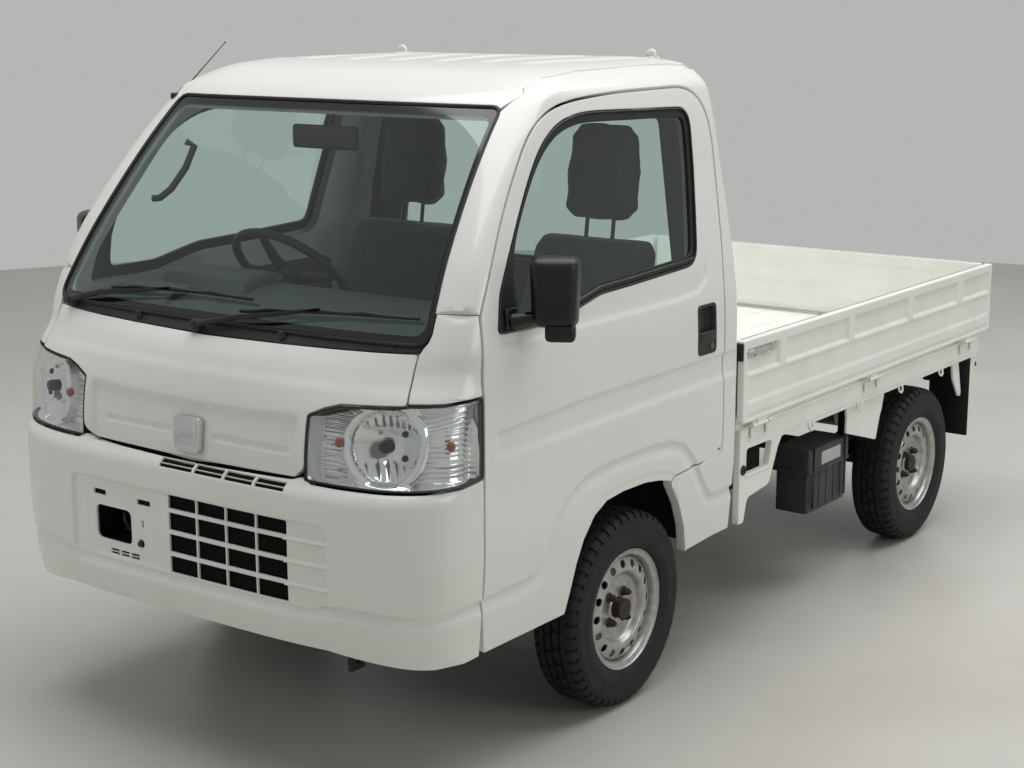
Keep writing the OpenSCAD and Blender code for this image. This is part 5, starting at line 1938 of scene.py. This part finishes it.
tail_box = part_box("tailgate")
tail_y = tail_box[1].y
tail_ribs = ((-.029, .029), (-.46, -.40), (.40, .46))
gate = pressed_sheet(flat_form((0, tail_y, 0), (-1, 0, 0), (0, 0, 1)),
                     box_loop((-.6985, gate_low_z), (.6985, tail_box[1].z), .008),
                     relief=lambda x, z: gate_relief(x, z, (-.675, .675), tail_ribs), step=.015,
                     roll=.004, lip=.022)
back_sheet = pressed_sheet(flat_form((0, tail_box[0].y, 0), (1, 0, 0), (0, 0, 1)),
                           box_loop((-.6985, gate_low_z), (.6985, tail_box[1].z), .008),
                           relief=lambda x, z: gate_back_relief(x, z, (-.67, .67)), step=.02, roll=.003,
                           lip=.004)
gate = joined(gate, back_sheet)
latch, posts = bmesh.new(), bmesh.new()
for x in (-.56, 0, .56):
    add_block(gate, (x - .050, tail_y - .025, .6600), (x + .050, tail_y - .008, .6765), .003, 2)
    add_rod(gate, [(x - .034, tail_y - .007, hinge_pin_z), (x + .034, tail_y - .007, hinge_pin_z)],
            .0066, 16)
    add_block(gate, (x - .030, tail_y - .0083, .6600), (x + .030, tail_y - .003, .6990), .002, 2)
    for side in (-1, 1):
        add_rod(posts, [(x + side * .037, tail_y - .007, hinge_pin_z),
                        (x + side * .056, tail_y - .007, hinge_pin_z)], .0070, 16)
        add_block(posts, (x + side * post_offset - .0095, 1.6480, .6330),
                  (x + side * post_offset + .0095, tail_y - .0085, .6480), .002, 1)
        add_block(posts, (x + side * post_offset - .0095, tail_y - .0160, .6330),
                  (x + side * post_offset + .0095, tail_y - .0085, .6575), .002, 1)
for side in (-1, 1):
    low, high = sorted((side * .690, side * .560))
    add_block(latch, (low, tail_y - .0090, .872), (high, tail_y - .0030, .890), .0025, 2)
    add_rod(latch, [(side * .682, tail_y - .0042, .864), (side * .682, tail_y - .0042, .898)], .0040,
            12)
finished("tailgate_pressing", gate, [bed_enamel], "tailgate_body", ["tailgate"])
finished("tailgate_latches", latch, [zinc_with_painted_reflection], "tailgate_body")

# Sills with the panel behind the cab, its access hole, and rope hooks
sill_loop = rounded([(-.165, .366), (-.135, .366), (-.115, .438), (.019, .451), (.074, .560),
                     (.100, .583), (1.6525, .583), (1.6525, .6505), (-.165, .6505)],
                     [.004, .006, .03, .03, .03, .02, .004, .004, .004], .01)
sill_hole = rounded([(-.129, .590), (-.131, .511), (.008, .511), (.029, .588)], .013)


def sill_relief(y, z):
    seam = -.0016 * (1 - rise(abs(y - .265) - .0012, .002))
    edge = -.0030 * (1 - rise(z - .598, .008)) * rise(y - .09, .03)
    rim = .003 * (1 - rise(line_distance(np.vstack([sill_hole, sill_hole[:1]]), y, z) - .008,
                            .008)) * (y < .10)
    return seam + edge - .003 + rim


sill = pressed_sheet(flat_form((.7225, 0, 0), (0, 1, 0), (0, 0, 1)), sill_loop, [sill_hole],
                     sill_relief, roll=.003, lip=.018)
for y, z in ((.288, .583), (.635, .583), (.957, .583), (1.30, .583)):
    hook = [(.716, y - .016, z + .012), (.7215, y - .013, z - .012), (.7225, y, z - .018),
            (.7215, y + .013, z - .012), (.716, y + .016, z + .012)]
    add_rod(sill, hook, .0038, 10)
inner_sill = pressed_sheet(flat_form((.7030, 0, 0), (0, -1, 0), (0, 0, 1)), (sill_loop * (-1, 1))[::-1],
                           [(sill_hole * (-1, 1))[::-1]], lambda y, z: 0 * y, step=.04, roll=0, lip=0)
sill = joined(sill, inner_sill)
grommet = bmesh.new()
add_turned(grommet, [(.0155, -.002), (.0155, .0015), (.0125, .0040), (.0060, .0040), (.0050, .0015),
                     (0, .0015)],
           (.7200, -.145, .5285), (1, 0, 0), 28)
finished("right_bed_sill", mirrored(sill), [bed_enamel], "truck")
finished("left_bed_sill", joined(sill, posts), [bed_enamel], "truck", ["bed_sills"])
on_both_sides(("sill_grommet", grommet, black_rubber, "black_rubber"))

# ---------------------------------------------------------------------------
# Tail and small parts. Rubber mudflaps, ribbed splash plates, moulded tail lamps, a
# folded bumper with the blank plate bracket, wipers, antenna and roof hooks.
# Dyed acrylic: deep red under a gloss
red_lens = plain_finish(
    "red lamp lens", ("#a01414", "#8c0f10"), 25, (3, .05, .1, .16), Coat_Weight=.7,
    Specular_IOR_Level=.5)
# Dyed acrylic: orange
amber_lens = plain_finish(
    "amber lamp lens", ("#c8641a", "#b65712"), 25, (3, .05, .1, .16), Coat_Weight=.7,
    Specular_IOR_Level=.5)
# Colourless acrylic over a white reflector
pale_lens = plain_finish(
    "clear ribbed lens", ("#cfd3d4", "#bcc1c3"), 12, (3, .05, .08, .14), Coat_Weight=.7,
    Specular_IOR_Level=.5)

flap = bmesh.new()
add_block(flap, (.562, 1.5765, .289), (.7175, 1.5835, .583), .0025, 2)
for x in (.59, .633, .676):
    add_block(flap, (x - .004, 1.5830, .310), (x + .004, 1.5850, .470), .001, 1)
add_block(flap, (.562, .8055, .421), (.693, .8118, .583), .0025, 2)
on_both_sides(("mudflaps", flap, black_rubber, "black_rubber", "rear_fenders"))
splash_form = flat_form((.6990, 0, 0), (0, 1, 0), (0, 0, 1))
splash_loop = rounded([(.588, .491), (.821, .424), (.870, .566), (.872, .583), (.590, .583)], .008)
splash = pressed_sheet(splash_form, splash_loop,
                       relief=lambda y, z: -.002 * (np.sin((y - z * .3) * math.tau / .045) > .2),
                       step=.012, lip=.006)
rear_bracket = rounded([(1.455, .583), (1.512, .583), (1.548, .462), (1.548, .446), (1.528, .446),
                        (1.470, .520)], .006)
splash = joined(splash, pressed_sheet(splash_form, rear_bracket, relief=lambda y, z: 0 * y, lip=.006))
on_both_sides(("splash_plates", splash, bed_enamel, "white_paint"))

# Corner plate outside the lamps, with a rubber stop
corner_plate = pressed_sheet(flat_form((.7010, 0, 0), (0, 1, 0), (0, 0, 1)),
                             rounded([(1.592, .584), (1.604, .468), (1.640, .468), (1.688, .600),
                                      (1.688, .6475), (1.660, .6475), (1.655, .584)], .008), lip=.020)
stop = bmesh.new()
add_turned(stop, [(0, -.006), (.013, -.006), (.013, .006), (.009, .010), (0, .010)],
           (.690, 1.672, .544), (0, 1, 0), 24)
on_both_sides(("corner_plate", corner_plate, bed_enamel, "white_paint"))
on_both_sides(("rubber_stop", stop, black_rubber, "black_rubber"))

lamp_body, reds, ambers, clears = bmesh.new(), bmesh.new(), bmesh.new(), bmesh.new()
add_block(lamp_body, (.522, 1.602, .472), (.688, 1.640, .558), .008, 3)
add_block(reds, (.606, 1.636, .478), (.684, 1.659, .552), .006, 3)
add_block(ambers, (.566, 1.636, .478), (.6045, 1.658, .552), .005, 3)
add_block(clears, (.527, 1.636, .478), (.5645, 1.657, .552), .005, 3)
add_block(lamp_body, (.560, 1.60, .556), (.650, 1.630, .600), .004, 2)
on_both_sides(("tail_lamp_body", lamp_body, moulded_black, "black_plastic", "tail_lamps"),
              ("tail_lamp_red", reds, red_lens, "red_plastic"),
              ("tail_lamp_amber", ambers, amber_lens, "lamp_plastic"),
              ("tail_lamp_clear", clears, pale_lens, "lamp_plastic"))

bm = bmesh.new()
add_block(bm, (-.500, 1.592, .472), (.500, 1.640, .539), .008, 3)
add_block(bm, (-.500, 1.586, .498), (.500, 1.594, .514), .003, 2)
for x in (-.30, .30):
    add_block(bm, (x - .030, 1.560, .490), (x + .030, 1.595, .600), .004, 2)
plate = pressed_sheet(flat_form((0, 1.6430, 0), (-1, 0, 0), (0, 0, 1)),
                      box_loop((-.165, .430), (.165, .590), .010),
                      [ring_of((side * .105, .575), .0035, 16) for side in (-1, 1)],
                      lambda x, z: -.0012 * field(x, z, (-.150, .445), (.150, .562), .003, .006),
                      roll=.001, lip=.0018)
finished("rear_bumper_beam", joined(bm, plate), [bed_enamel], "truck", ["rear_bumper"])

# Wipers: a flat arm on a spindle with a pressed yoke and a rubber blade
wiper = bmesh.new()


def screen_spot(x, z, out):
    at, normal = cab_skin(np.array([cab_length("front", x, z)]), np.array([z]))
    return Vector(at[0]) + Vector(normal[0]) * out


for pivot, elbow, joint, tip, blade_from in (
        ((-.044, 1.0880), (.090, 1.1120), (.330, 1.1480), (.600, 1.1560), (.080, 1.1280)),
        ((-.551, 1.0980), (-.430, 1.1240), (-.180, 1.1520), (.098, 1.1560), (-.400, 1.1420))):
    base = screen_spot(*pivot, .004)
    lift = (screen_spot(*pivot, 1) - screen_spot(*pivot, 0)).normalized()
    add_turned(wiper, [(.017, -.008), (.017, .008), (.014, .013), (.0075, .015), (.0075, .020),
                       (0, .020)], base, lift, 24)
    add_rod(wiper, [screen_spot(*pivot, .013), screen_spot(*elbow, .018), screen_spot(*joint, .022)],
            [.010, .0075, .0045], 12)
    along = np.linspace(0, 1, 14)
    blade_line = [(blade_from[0] + (tip[0] - blade_from[0]) * t,
                   blade_from[1] + (tip[1] - blade_from[1]) * t + .006 * math.sin(t * math.pi))
                  for t in along]
    spine = [screen_spot(x, z, .0125) for x, z in blade_line]
    add_rod(wiper, spine, .0042, 10)
    edge = [screen_spot(x, z, .0060) for x, z in blade_line]
    add_rod(wiper, edge, .0022, 8)
    for t0, t1 in ((.08, .34), (.66, .92), (.30, .70)):
        a, b = spine[int(t0 * 13)], spine[int(t1 * 13)]
        lift_by = (screen_spot(*joint, .010) - screen_spot(*joint, 0))
        add_rod(wiper, [a, (a + b) / 2 + lift_by * .9, b], [.0028, .0040, .0028], 8)
finished("wiper_arms", wiper, [moulded_black], "truck", ["wipers"])

whip = bmesh.new()
base, tip = Vector((-.592, -1.078, 1.620)), Vector((-.578, -.905, 1.762))
way = (tip - base).normalized()
add_block(whip, base + Vector((-.010, -.028, -.014)), base + Vector((.010, .020, .006)), .005, 3)
add_turned(whip, [(.010, -.004), (.009, .020), (.006, .032), (.0035, .040), (.0035, .052), (0, .052)],
           base, way, 20)
add_rod(whip, [base + way * .03, tip], [.0022, .0013], 8)
bmesh.ops.create_uvsphere(whip, u_segments=12, v_segments=8, radius=.0026,
                          matrix=Matrix.Translation(tip - way * .0025))
finished("antenna_whip", whip, [moulded_black], "truck", ["antenna"])

hooks = bmesh.new()
for x in (-.455, .455):
    top = Vector((x, -.255, float(roof_height(np.array([x]), np.array([-.255]))[0])))
    add_block(hooks, top + Vector((-.014, -.030, -.004)), top + Vector((.014, .022, .003)), .002, 2)
    hoop = [(-.014, 0), (-.012, .014), (-.006, .021), (.006, .021), (.012, .014), (.014, 0)]
    add_rod(hooks, [top + Vector((across, -.004, up_by)) for across, up_by in hoop], .0042, 10)
finished("roof_hooks", hooks, [white_enamel], "truck")
